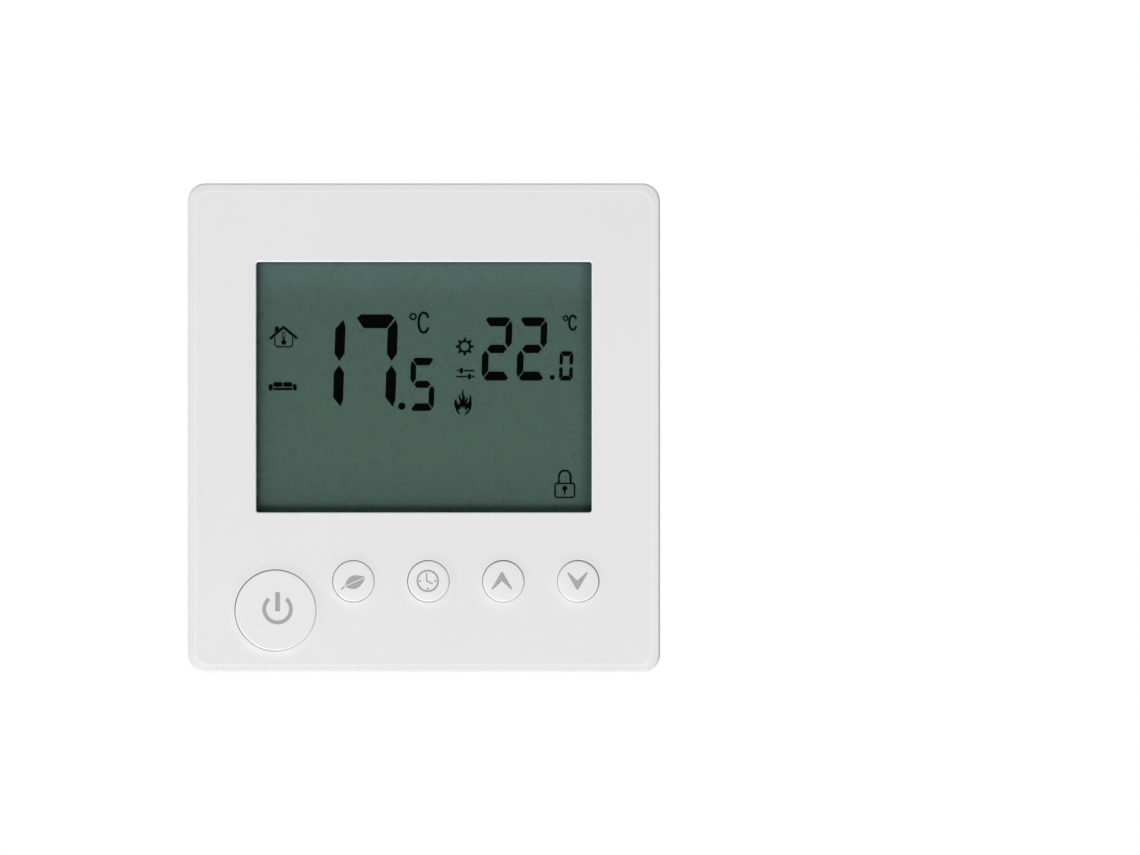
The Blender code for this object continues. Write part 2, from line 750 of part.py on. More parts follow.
def terminal_openings():
    """A round hole over each terminal screw and a square hole under each wire way."""
    half = WIRE_SIZE / 2
    floor = -HOUSING_SIZE / 2
    inside = floor + HOUSING_WALL + PAST
    openings = []
    for x in TERMINAL_X:
        centre = (x, TERMINAL_SCREW_Z)
        openings.append(rod(TERMINAL_WELL_RADIUS, CAVITY_BACK - PAST, HOUSING_BACK + PAST, centre, SMALL))
        openings.append(box(x - half, x + half, floor - PAST, inside, WIRE_FRONT, WIRE_BACK))
    return openings


def housing_vents():
    """Slots through both side walls, beside the relay and the transformer."""
    reach = HOUSING_WALL + PAST
    slots = []
    for i in range(4):
        low = SIDE_VENT_LOWEST + i * SIDE_VENT_PITCH
        high = low + VENT_SLIT
        for wall in (HOUSING_SIZE / 2, -HOUSING_SIZE / 2):
            slots.append(box(wall - reach, wall + reach, low, high, SIDE_VENT_FRONT, SIDE_VENT_BACK))
    return slots


def make_housing_lid(parent):
    """The plate in the housing's mouth, with a slot for the connector and vents."""
    size = HOUSING_INSIDE - 2 * GAP
    plate = loft(
        rounded(size, size, CAVITY_CORNER, HOUSING_FRONT, 2),
        rounded(size, size, CAVITY_CORNER, LID_BACK, 2),
    )
    lid = piece("housing_lid", plate, housing_abs(), parent)
    slot_x = SOCKET_WIDTH / 2 + GAP
    slot_z = SOCKET_HEIGHT / 2 + GAP
    front = HOUSING_FRONT - PAST
    back = LID_BACK + PAST
    openings = [box(-slot_x, slot_x, HEADER_Z - slot_z, HEADER_Z + slot_z, front, back)]
    for i in range(5):
        low = LID_VENT_LOWEST + i * LID_VENT_PITCH
        half = LID_VENT_LENGTH / 2
        openings.append(box(-half, half, low, low + VENT_SLIT, front, back))
    cut(lid, *openings)


def make_header_socket(parent):
    half_x = SOCKET_WIDTH / 2
    half_z = SOCKET_HEIGHT / 2
    body = box(-half_x, half_x, -half_z, half_z, SOCKET_FRONT, POWER_FRONT - GAP)
    socket = piece("header_socket", body, black_plastic(), parent, (0.0, 0.0, HEADER_Z))
    mouth_x = SOCKET_MOUTH_WIDTH / 2
    mouth_z = SOCKET_MOUTH_HEIGHT / 2
    cut(socket, box(-mouth_x, mouth_x, -mouth_z, mouth_z, SOCKET_FRONT - PAST, SOCKET_MOUTH_BACK))


def on_power(place, lift=0.0):
    """Where a part stands on the power board's back, raised by lift."""
    x, z = place
    return (x, POWER_BACK + GAP + lift, z)


def make_power_board(parent):
    half = POWER_SIZE / 2
    plate = box(-half, half, -half, half, POWER_FRONT, POWER_BACK)
    piece("power_board", plate, board_green(), parent)
    relay_look = material("relay_blue", (0.02, 0.10, 0.35), 0.35)
    piece("relay", centred_box(*RELAY_SIZE), relay_look, parent, on_power(RELAY_PLACE))

    tape = material("winding_tape", (0.75, 0.55, 0.08), 0.45)
    width, height, depth = CORE_SIZE
    core = box(-width / 2, width / 2, -height / 2, height / 2, CORE_LIFT, CORE_LIFT + depth)
    transformer = piece("transformer", core, tape, parent, on_power(TRANSFORMER_PLACE))
    add(transformer, centred_box(*WINDING_SIZE))

    sleeve = material("capacitor_sleeve", (0.03, 0.04, 0.08), 0.40)
    shoulder = CAPACITOR_HEIGHT - 0.1 * CAPACITOR_RADIUS
    profile = [
        (CAPACITOR_RADIUS, 0.0),
        (CAPACITOR_RADIUS, shoulder),
        (0.9 * CAPACITOR_RADIUS, CAPACITOR_HEIGHT),
    ]
    piece("capacitor", turned(profile, SMALL), sleeve, parent, on_power(CAPACITOR_PLACE))

    fuse_look = material("fuse_brown", (0.20, 0.08, 0.03), 0.40)
    can = rod(FUSE_RADIUS, 0.0, FUSE_HEIGHT, segments=SMALL)
    piece("fuse", can, fuse_look, parent, on_power(FUSE_PLACE))

    disc_look = material("varistor_blue", (0.02, 0.14, 0.45), 0.40)
    half = VARISTOR_THICKNESS / 2
    disc = rod(VARISTOR_RADIUS, -half, half, segments=SMALL)
    varistor = piece("varistor", disc, disc_look, parent, on_power(VARISTOR_PLACE, VARISTOR_RADIUS))
    varistor.rotation_euler = (math.pi / 2, 0.0, 0.0)


def make_terminals(parent):
    """A six-way block, each way with a brass cage in a pocket and a screw in a well."""
    half = TERMINAL_COUNT * TERMINAL_PITCH / 2
    body = box(-half, half, BLOCK_BOTTOM, BLOCK_TOP, POWER_BACK + GAP, TERMINAL_BACK)
    look = material("terminal_grey", (0.18, 0.19, 0.20), 0.50)
    block = piece("terminal_block", body, look, parent)
    side = CLAMP_WIDTH / 2 + POCKET_CLEARANCE
    top = TERMINAL_SCREW_Z + CLAMP_HEIGHT / 2 + GAP
    front = CLAMP_FRONT - GAP
    back = CLAMP_BACK + GAP
    pockets = []
    shafts = []
    wells = []
    for x in TERMINAL_X:
        centre = (x, TERMINAL_SCREW_Z)
        pockets.append(box(x - side, x + side, BLOCK_BOTTOM - PAST, top, front, back))
        shafts.append(rod(SHAFT_RADIUS, back - PAST, SEAT_Y + PAST, centre, SMALL))
        wells.append(rod(TERMINAL_WELL_RADIUS, SEAT_Y, TERMINAL_BACK + PAST, centre, SMALL))
    cut(block, *pockets)
    cut(block, *shafts)
    cut(block, *wells)
    for i, x in enumerate(TERMINAL_X, 1):
        make_terminal_clamp(f"terminal_clamp_{i}", x, parent)
        make_terminal_screw(f"terminal_screw_{i}", x, parent)


def make_terminal_clamp(name, x, parent):
    """A brass cage: the wire goes through it along Z, and the screw comes in from the back."""
    half = CLAMP_WIDTH / 2
    tall = CLAMP_HEIGHT / 2
    wire = WIRE_SIZE / 2
    body = box(-half, half, -tall, tall, CLAMP_FRONT, CLAMP_BACK)
    clamp = piece(name, body, brass(), parent, (x, 0.0, TERMINAL_SCREW_Z))
    cut(clamp, box(-wire, wire, -tall - PAST, tall + PAST, WIRE_FRONT, WIRE_BACK))
    cut(clamp, rod(CLAMP_THREAD_RADIUS, WIRE_BACK - PAST, CLAMP_BACK + PAST, segments=SMALL))


def make_terminal_screw(name, x, parent):
    """A slotted screw on the seat of its well, with its origin at the seat."""
    profile = [
        (TERMINAL_SCREW_RADIUS, WIRE_BACK - GAP - SEAT_Y),
        (TERMINAL_SCREW_RADIUS, GAP),
        (TERMINAL_HEAD_RADIUS, GAP),
        (TERMINAL_HEAD_RADIUS, TERMINAL_HEAD_HEIGHT),
    ]
    screw = piece(name, turned(profile, SMALL), zinc_steel(), parent, (x, SEAT_Y, TERMINAL_SCREW_Z))
    half = SCREWDRIVER_SLOT / 2
    reach = TERMINAL_HEAD_RADIUS + PAST
    bed = 0.6 * TERMINAL_HEAD_HEIGHT
    cut(screw, box(-reach, reach, -half, half, bed, TERMINAL_HEAD_HEIGHT + PAST))


def main():
    for old in list(bpy.data.objects):
        bpy.data.objects.remove(old)
    front = empty("front_unit")
    make_front_cover(front)
    make_display(front)
    make_control_board(front)
    make_control_parts(front)
    for name, x, z, radius in BUTTONS:
        make_button(name, x, z, radius, front)
    make_header_plug(front)

    rear = empty("rear_unit")
    make_mounting_frame(rear)
    make_wall_screw("wall_screw_right", SCREW_PITCH / 2, rear)
    make_wall_screw("wall_screw_left", -SCREW_PITCH / 2, rear)
    make_housing_screw("housing_screw_top", EAR_SCREW_Z, rear)
    make_housing_screw("housing_screw_bottom", -EAR_SCREW_Z, rear)
    make_rear_housing(rear)
    make_housing_lid(rear)
    make_header_socket(rear)
    make_power_board(rear)
    make_terminals(rear)


main()
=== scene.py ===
"""Looks of a flush-mounted wall thermostat with a large LCD and five buttons.

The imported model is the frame: +X right and +Z up as seen from the room, +Y into the wall, in
metres. The room side of a piece is its lower Y. Every piece rides on the body of the part that it
dresses or stands for.
"""

import json
import math

import bmesh
import bpy
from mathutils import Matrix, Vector


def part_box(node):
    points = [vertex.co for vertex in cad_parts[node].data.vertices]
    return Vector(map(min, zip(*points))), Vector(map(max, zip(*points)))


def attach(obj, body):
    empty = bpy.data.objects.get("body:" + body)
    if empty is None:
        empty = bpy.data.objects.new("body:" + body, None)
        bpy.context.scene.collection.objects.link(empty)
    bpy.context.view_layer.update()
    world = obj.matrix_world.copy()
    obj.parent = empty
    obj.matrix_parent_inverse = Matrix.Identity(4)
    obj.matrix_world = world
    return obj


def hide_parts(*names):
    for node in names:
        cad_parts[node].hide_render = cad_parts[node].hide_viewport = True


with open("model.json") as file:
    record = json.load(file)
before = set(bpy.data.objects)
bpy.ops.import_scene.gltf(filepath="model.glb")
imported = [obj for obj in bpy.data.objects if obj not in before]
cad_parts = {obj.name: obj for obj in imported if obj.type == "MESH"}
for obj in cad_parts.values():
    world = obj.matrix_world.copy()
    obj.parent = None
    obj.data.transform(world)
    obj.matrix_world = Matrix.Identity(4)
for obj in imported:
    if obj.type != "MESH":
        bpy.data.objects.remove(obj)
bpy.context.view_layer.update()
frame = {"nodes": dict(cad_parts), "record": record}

MM = 0.001

# Front cover
COVER_LOW, COVER_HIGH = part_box("front_cover")
COVER_WIDTH = COVER_HIGH.x - COVER_LOW.x
COVER_HEIGHT = COVER_HIGH.z - COVER_LOW.z
COVER_BACK = COVER_HIGH.y
MOUND_HEIGHT = 0.12 * MM
COVER_FRONT = COVER_LOW.y + MOUND_HEIGHT
COVER_CORNER = 3.2 * MM
COVER_WALL = 2.0 * MM
EDGE_ROUND = 0.35 * MM
CREASE_INSET = 1.40 * MM
CREASE_WIDTH = 0.36 * MM
CREASE_CORNER = 2.7 * MM
CREASE_HEIGHT = 0.015 * MM
RIM_DROP = 0.03 * MM
VENT_Y = (-9.5 * MM, -4.5 * MM)
VENT_WIDTH = 1.8 * MM
VENT_PITCH = 5.0 * MM
NOTCH_WIDTH = 8.0 * MM
NOTCH_DEPTH = 1.9 * MM
CATCH_X = 22.0 * MM
PANEL_BACK = COVER_FRONT + COVER_WALL
BOSS_X, BOSS_Z = 37.5 * MM, 38.5 * MM
BOSS_RADIUS = 2.4 * MM
PILOT_RADIUS = 1.25 * MM
COVER_LOOKS = ("cover_white", "window_edge", "cover_line", "cover_edge")

# Window, through the cover and over the display
GAP = 0.3 * MM
LENS_LOW, LENS_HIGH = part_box("display_window")
LENS_LEDGE = 1.2 * MM
WINDOW_WIDTH = LENS_HIGH.x - LENS_LOW.x - 2 * LENS_LEDGE
WINDOW_HEIGHT = LENS_HIGH.z - LENS_LOW.z - 2 * LENS_LEDGE
WINDOW_CENTRE = ((LENS_LOW.x + LENS_HIGH.x) / 2, (LENS_LOW.z + LENS_HIGH.z) / 2)
WINDOW_CORNER = 0.45 * MM
WINDOW_EDGE = 0.25 * MM

# Buttons
CAP_FLANGE = 0.9 * MM
CAP_GROWTH = 0.06 * MM
CAP_SINK = 0.15 * MM
SLIDE_GAP = 0.075 * MM
MOUND_WIDTH = 2.1 * MM
CAP_EDGE = 0.30 * MM
BUTTONS = ("power", "economy", "clock", "up", "down")
# How far each cap lies off the middle of its hole, in mm, as its play lets it.
CAP_PLAY = {"power": (0.040, -0.036), "economy": (0.016, -0.014), "clock": (0.026, -0.018),
            "up": (0.004, -0.046), "down": (-0.034, -0.038)}

# Prints on the display and the buttons
LCD_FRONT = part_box("lcd_panel")[0].y
INK = 0.03 * MM
SLANT = 0.034


def button_place(name):
    """((x, z) of the centre, cap radius) of a button."""
    low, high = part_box(f"{name}_button")
    centre = ((low.x + high.x) / 2, (low.z + high.z) / 2)
    return centre, (high.x - low.x) / 2 - CAP_FLANGE + CAP_GROWTH


# Outlines: lists of (x, z) points


def arc(centre, radius, start, end, steps):
    """Points on a circle from one angle to another, in degrees anticlockwise from +X."""
    angles = [math.radians(start + (end - start) * i / steps) for i in range(steps + 1)]
    return [(centre[0] + radius * math.cos(a), centre[1] + radius * math.sin(a)) for a in angles]


def circle(centre, radius, steps=96):
    return arc(centre, radius, 0, 360, steps)[:-1]


def rounded(width, height, radius, centre=(0.0, 0.0), steps=12):
    """A rectangle with round corners."""
    x, z = centre
    across = width / 2 - radius
    up = height / 2 - radius
    points = []
    for i, (sx, sz) in enumerate(((1, 1), (-1, 1), (-1, -1), (1, -1))):
        points += arc((x + sx * across, z + sz * up), radius, 90 * i, 90 * i + 90, steps)
    return points


def moved(points, centre=(0.0, 0.0), scale=1.0, turn=0.0):
    """Points scaled, turned by degrees anticlockwise, and moved to centre."""
    c, s = math.cos(math.radians(turn)), math.sin(math.radians(turn))
    return [
        (centre[0] + scale * (c * x - s * z), centre[1] + scale * (s * x + c * z))
        for x, z in points
    ]


def quarter(size, steps):
    """(out, down) along a quarter circle of this radius, from the face it meets to the wall."""
    angles = [math.pi / 2 * i / steps for i in range(steps + 1)]
    return [(size * (1 - math.sin(a)), size * (1 - math.cos(a))) for a in angles]


# Meshes

SHARP = math.radians(35)  # edges over this angle stay sharp


class Skin:
    """A mesh in the making, mostly from rings of vertices that lie in planes of constant Y."""

    def __init__(self):
        self.mesh = bmesh.new()

    def ring(self, outline, y):
        return [self.mesh.verts.new((x, y, z)) for x, z in outline]

    def bridge(self, near, far, closed=True, slot=0):
        for i in range(len(near) if closed else len(near) - 1):
            j = (i + 1) % len(near)
            face = self.mesh.faces.new((near[i], near[j], far[j], far[i]))
            face.material_index = slot

    def loft(self, rings, slot=0):
        """Rings, each (outline, y), joined in turn. Returns the first and the last."""
        rows = [self.ring(outline, y) for outline, y in rings]
        self.join(rows, slot)
        return rows[0], rows[-1]

    def join(self, rows, slot=0):
        for near, far in zip(rows, rows[1:]):
            self.bridge(near, far, slot=slot)

    def cap(self, ring):
        self.mesh.faces.new(ring)

    def fill(self, *rings):
        """Closes the flat region between rings that lie in one plane."""
        edges = []
        for ring in rings:
            for a, b in zip(ring, ring[1:] + ring[:1]):
                edges.append(self.mesh.edges.get((a, b)) or self.mesh.edges.new((a, b)))
        bmesh.ops.triangle_fill(self.mesh, use_beauty=True, edges=edges, normal=(0, -1, 0))

    def solid(self, rings):
        """A closed solid through rings, capped at both ends."""
        first, last = self.loft(rings)
        self.cap(first)
        self.cap(last)

    def prism(self, near, far):
        """A solid between two outlines of (x, y, z) points."""
        rows = [[self.mesh.verts.new(point) for point in points] for points in (near, far)]
        self.bridge(*rows)
        for row in rows:
            self.cap(row)

    def plate(self, outline, front, back):
        self.solid([(outline, front), (outline, back)])

    def stroke(self, path, width, front, back, closed=False):
        """A flat line of this width along a path of (x, z) points."""
        left, right = offset(path, width / 2, closed)
        rows = [self.ring(side, y) for side, y in
                ((left, front), (right, front), (right, back), (left, back))]
        for near, far in zip(rows, rows[1:] + rows[:1]):
            self.bridge(near, far, closed)
        if not closed:
            self.cap([row[0] for row in rows])
            self.cap([row[-1] for row in rows])


class Pen(Skin):
    """Flat shapes drawn in millimetres. All run from y = front to y = back, in metres."""

    def __init__(self, front, back):
        super().__init__()
        self.depths = front, back

    def line(self, path, width, closed=False):
        self.stroke(moved(path, scale=MM), width * MM, *self.depths, closed)

    def patch(self, outline):
        self.plate(moved(outline, scale=MM), *self.depths)

    def dot(self, centre, radius, steps=32):
        self.patch(circle(centre, radius, steps))


SHARPEST_MITRE = 0.4  # keeps the corner of a sharp turn near the path


def offset(path, reach, closed):
    """The lines that run beside a path, reach away on its left and on its right."""
    left, right = [], []
    count = len(path)
    for i in range(count):
        before = Vector(path[(i - 1) % count if closed else max(i - 1, 0)])
        here = Vector(path[i])
        after = Vector(path[(i + 1) % count if closed else min(i + 1, count - 1)])
        along_in = (here - before).normalized() if here != before else (after - here).normalized()
        along_out = (after - here).normalized() if here != after else along_in
        middle = (along_in + along_out).normalized()
        side = Vector((-middle.y, middle.x))
        shift = reach / max(SHARPEST_MITRE, side.dot(Vector((-along_in.y, along_in.x))))
        left.append(tuple(here + side * shift))
        right.append(tuple(here - side * shift))
    return left, right


def turned(profile, centre=(0.0, 0.0), steps=96):
    """Rings of a piece turned about a line along Y, from (radius, y) pairs."""
    return [(circle(centre, radius, steps), y) for radius, y in profile]


def mesh_of(skin, name):
    bmesh.ops.recalc_face_normals(skin.mesh, faces=skin.mesh.faces)
    mesh = bpy.data.meshes.new(name)
    skin.mesh.to_mesh(mesh)
    skin.mesh.free()
    return mesh


def finished(name, skin, body, materials, weighted=True):
    """An object from a skin, shaded smooth between sharp edges, that rides on body."""
    mesh = mesh_of(skin, name)
    for material in materials:
        mesh.materials.append(material)
    mesh.shade_smooth()
    mesh.set_sharp_from_angle(angle=SHARP)
    made = bpy.data.objects.new(name, mesh)
    bpy.context.scene.collection.objects.link(made)
    if weighted:
        normals = made.modifiers.new("weighted_normals", "WEIGHTED_NORMAL")
        normals.keep_sharp = True
    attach(made, body)
    return made


# Materials


def socket_of(tree, kind, output=0, **inputs):
    """A new node's output. Inputs are by name; a socket is linked and a value is set."""
    node = tree.nodes.new(kind)
    for key, value in inputs.items():
        into = node.inputs[key.replace("_", " ")]
        if isinstance(value, bpy.types.NodeSocket):
            tree.links.new(value, into)
        else:
            into.default_value = value
    return node.outputs[output]


def place(tree):
    """Where a point lies in its object's own axes, in metres."""
    return socket_of(tree, "ShaderNodeTexCoord", "Object")


def noise(tree, scale, detail=3.0, roughness=0.55):
    return socket_of(tree, "ShaderNodeTexNoise", "Fac", Vector=place(tree), Scale=scale,
                     Detail=detail, Roughness=roughness)


def ramp(tree, factor, *stops):
    """A colour ramp through (position, colour) stops."""
    node = tree.nodes.new("ShaderNodeValToRGB")
    elements = node.color_ramp.elements
    for i, (position, colour) in enumerate(stops):
        element = elements[i] if i < 2 else elements.new(position)
        element.position = position
        element.color = (*colour, 1.0)
    tree.links.new(factor, node.inputs["Fac"])
    return node.outputs["Color"]


def spread(tree, factor, low, high, start=0.3, end=0.7):
    """A factor's range from start to end, stretched over low to high."""
    node = tree.nodes.new("ShaderNodeMapRange")
    for name, value in (("From Min", start), ("From Max", end), ("To Min", low), ("To Max", high)):
        node.inputs[name].default_value = value
    tree.links.new(factor, node.inputs["Value"])
    return node.outputs["Result"]


def axes(tree, vector=None):
    """The X, Y and Z of a place or a direction."""
    node = tree.nodes.new("ShaderNodeSeparateXYZ")
    tree.links.new(vector or place(tree), node.inputs["Vector"])
    return node.outputs


def toned(tree, colour, share):
    """A colour made darker or lighter by a share."""
    node = tree.nodes.new("ShaderNodeVectorMath")
    node.operation = "SCALE"
    tree.links.new(colour, node.inputs[0])
    tree.links.new(share, node.inputs["Scale"])
    return node.outputs[0]


def combined(tree, operation, first, second):
    node = tree.nodes.new("ShaderNodeMath")
    node.operation = operation
    tree.links.new(first, node.inputs[0])
    tree.links.new(second, node.inputs[1])
    return node.outputs[0]


def bump(tree, height, depth, strength=1.0):
    return socket_of(tree, "ShaderNodeBump", Height=height, Distance=depth, Strength=strength)


def shaded(colour, share):
    return tuple(min(1.0, channel * share) for channel in colour)


def new_material(name):
    """(material, its node tree, its Principled node)"""
    made = bpy.data.materials.new(name)
    made.use_nodes = True
    return made, made.node_tree, made.node_tree.nodes["Principled BSDF"]


def surface(name, colour, roughness, metallic=0.0, mottle=0.04, mottle_scale=60.0, vary=0.04,
            grain_scale=1500.0, grain_depth=0.004 * MM, **settings):
    """A material whose colour, roughness and fine relief vary softly over the surface."""
    made, tree, shader = new_material(name)
    patches = noise(tree, mottle_scale, 4.0)
    tint = ramp(tree, patches, (0.3, shaded(colour, 1 - mottle)), (0.7, shaded(colour, 1 + mottle)))
    tree.links.new(tint, shader.inputs["Base Color"])
    rough = spread(tree, noise(tree, grain_scale / 8), roughness - vary, roughness + vary)
    tree.links.new(rough, shader.inputs["Roughness"])
    relief = bump(tree, noise(tree, grain_scale, 2.0), grain_depth)
    tree.links.new(relief, shader.inputs["Normal"])
    shader.inputs["Metallic"].default_value = metallic
    for key, value in settings.items():
        shader.inputs[key.replace("_", " ")].default_value = value
    return made


def edge_material():
    """The white of the cover's outer edge, with painted shade: darker than the face all round, and
    darker still at its right, away from the light.
    """
    made = surface("moulded_edge_painted_shade", (0.69, 0.69, 0.69), 0.30, mottle=0.006, vary=0.03,
                   grain_depth=0.0008 * MM)
    tree, shader = made.node_tree, made.node_tree.nodes["Principled BSDF"]
    white = shader.inputs["Base Color"].links[0].from_socket
    # Painted shade: the base colour darkens over the right side of the edge, away from the light.
    painted_right_shade = spread(tree, axes(tree)["X"], 1.04, 0.76, 42.0 * MM, 42.9 * MM)
    tree.links.new(toned(tree, white, painted_right_shade), shader.inputs["Base Color"])
    return made


def lcd_material():
    """Grey-green display face, lighter near its head, with painted shade at its foot and painted
    shadows of the window's walls along its left, right and top edges.
    """
    made, tree, shader = new_material("lcd_face")
    at = axes(tree)
    low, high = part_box("lcd_panel")
    up = spread(tree, at["Z"], 0.0, 1.0, low.z, high.z)
    cloud = spread(tree, noise(tree, 60.0, 2.0), -0.02, 0.02)
    level = combined(tree, "ADD", up, cloud)
    green = (0.073, 0.132, 0.108)
    # The ramp's low stops darken the foot: painted shade where the window's bottom wall keeps the
    # light off.
    face = ramp(tree, level, (0.09, shaded(green, 0.84)), (0.15, shaded(green, 0.92)),
                (0.30, green), (0.82, green), (0.97, (0.106, 0.174, 0.158)))
    # Painted shadows of the window's left, right and top walls, cast on the face's edges.
    left = spread(tree, at["X"], 0.92, 1.0, -29.6 * MM, -27.9 * MM)
    right = spread(tree, at["X"], 1.0, 0.67, 28.3 * MM, 29.8 * MM)
    head = spread(tree, at["Z"], 1.0, 0.60, 29.65 * MM, 30.05 * MM)
    painted_wall_shadow = combined(tree, "MULTIPLY", combined(tree, "MULTIPLY", left, right), head)
    tree.links.new(toned(tree, face, painted_wall_shadow), shader.inputs["Base Color"])
    rough = spread(tree, noise(tree, 500.0), 0.26, 0.30)
    tree.links.new(rough, shader.inputs["Roughness"])
    shader.inputs["Specular IOR Level"].default_value = 0.35
    return made


def pane_material():
    """Clear hard-coated acrylic: what is behind shows straight through, under a thin gloss."""
    made, tree, shader = new_material("window_acrylic")
    tint = ramp(tree, noise(tree, 150.0), (0.3, (0.86, 0.93, 0.95)), (0.7, (0.90, 0.95, 0.96)))
    tree.links.new(tint, shader.inputs["Base Color"])
    rough = spread(tree, noise(tree, 400.0), 0.02, 0.05)
    tree.links.new(rough, shader.inputs["Roughness"])
    shader.inputs["Metallic"].default_value = 1.0
    shader.inputs["Alpha"].default_value = 0.04
    return made


def board_material():
    """Green solder mask over a maze of copper tracks, with tinned vias."""
    made, tree, shader = new_material("solder_mask")
    where = place(tree)
    brick = tree.nodes.new("ShaderNodeTexBrick")
    brick.offset = 0.37
    brick.inputs["Scale"].default_value = 260.0
    brick.inputs["Mortar Size"].default_value = 0.13
    brick.inputs["Brick Width"].default_value = 1.9
    brick.inputs["Row Height"].default_value = 0.42
    turned_place = tree.nodes.new("ShaderNodeMapping")
    turned_place.inputs["Rotation"].default_value = (math.pi / 2, 0.0, 0.0)
    tree.links.new(where, turned_place.inputs["Vector"])
    tree.links.new(turned_place.outputs["Vector"], brick.inputs["Vector"])
    tracks = brick.outputs["Fac"]
    cells = socket_of(tree, "ShaderNodeTexVoronoi", "Distance", Vector=where, Scale=330.0)
    via = spread(tree, cells, 1.0, 0.0, 0.10, 0.13)
    mask = ramp(tree, tracks, (0.0, (0.010, 0.105, 0.042)), (1.0, (0.022, 0.190, 0.080)))
    mix = tree.nodes.new("ShaderNodeMix")
    mix.data_type = "RGBA"
    tree.links.new(via, mix.inputs["Factor"])
    tree.links.new(mask, mix.inputs["A"])
    tin = ramp(tree, noise(tree, 700.0), (0.3, (0.55, 0.56, 0.55)), (0.7, (0.68, 0.68, 0.66)))
    tree.links.new(tin, mix.inputs["B"])
    tree.links.new(mix.outputs["Result"], shader.inputs["Base Color"])
    tree.links.new(spread(tree, via, 0.34, 0.22, 0, 1), shader.inputs["Roughness"])
    tree.links.new(via, shader.inputs["Metallic"])
    tree.links.new(bump(tree, tracks, 0.02 * MM), shader.inputs["Normal"])
    return made


def striped(name, dark, light, scale, roughness, direction="X"):
    """Fine layers across one axis, as in a zebra connector or a wound coil."""
    made, tree, shader = new_material(name)
    wave = tree.nodes.new("ShaderNodeTexWave")
    wave.bands_direction = direction
    wave.inputs["Scale"].default_value = scale
    wave.inputs["Distortion"].default_value = 0.15
    tree.links.new(place(tree), wave.inputs["Vector"])
    layers = ramp(tree, wave.outputs["Fac"], (0.35, dark), (0.65, light))
    tree.links.new(layers, shader.inputs["Base Color"])
    tree.links.new(spread(tree, noise(tree, 900.0), roughness - 0.05, roughness + 0.05),
                   shader.inputs["Roughness"])
    tree.links.new(bump(tree, wave.outputs["Fac"], 0.01 * MM), shader.inputs["Normal"])
    return made


def yellow_zinc_material():
    """Yellow chromate over zinc: gold with pink and green patches."""
    made, tree, shader = new_material("yellow_chromate")
    patches = noise(tree, 420.0, 5.0, 0.6)
    tint = ramp(tree, patches, (0.30, (0.42, 0.40, 0.16)), (0.45, (0.66, 0.50, 0.21)),
                (0.58, (0.72, 0.45, 0.28)), (0.72, (0.60, 0.52, 0.36)))
    tree.links.new(tint, shader.inputs["Base Color"])
    tree.links.new(spread(tree, noise(tree, 2500.0), 0.20, 0.38), shader.inputs["Roughness"])
    tree.links.new(bump(tree, noise(tree, 5000.0, 2.0), 0.006 * MM), shader.inputs["Normal"])
    shader.inputs["Metallic"].default_value = 1.0
    return made


def pressed_steel_material():
    """Zinc-plated sheet with soft spangle and fine rolling lines."""
    made, tree, shader = new_material("plated_sheet")
    spangle = socket_of(tree, "ShaderNodeTexVoronoi", "Color", Vector=place(tree), Scale=420.0)
    grey = socket_of(tree, "ShaderNodeRGBToBW", 0, Color=spangle)
    tint = ramp(tree, grey, (0.2, (0.60, 0.62, 0.64)), (0.8, (0.68, 0.70, 0.72)))
    tree.links.new(tint, shader.inputs["Base Color"])
    tree.links.new(spread(tree, grey, 0.34, 0.42, 0.2, 0.8), shader.inputs["Roughness"])
    lines = tree.nodes.new("ShaderNodeMapping")
    lines.inputs["Scale"].default_value = (60.0, 2400.0, 2400.0)
    tree.links.new(place(tree), lines.inputs["Vector"])
    rolled = socket_of(tree, "ShaderNodeTexNoise", "Fac", Vector=lines.outputs["Vector"], Scale=1.0)
    tree.links.new(bump(tree, rolled, 0.004 * MM), shader.inputs["Normal"])
    shader.inputs["Metallic"].default_value = 1.0
    return made


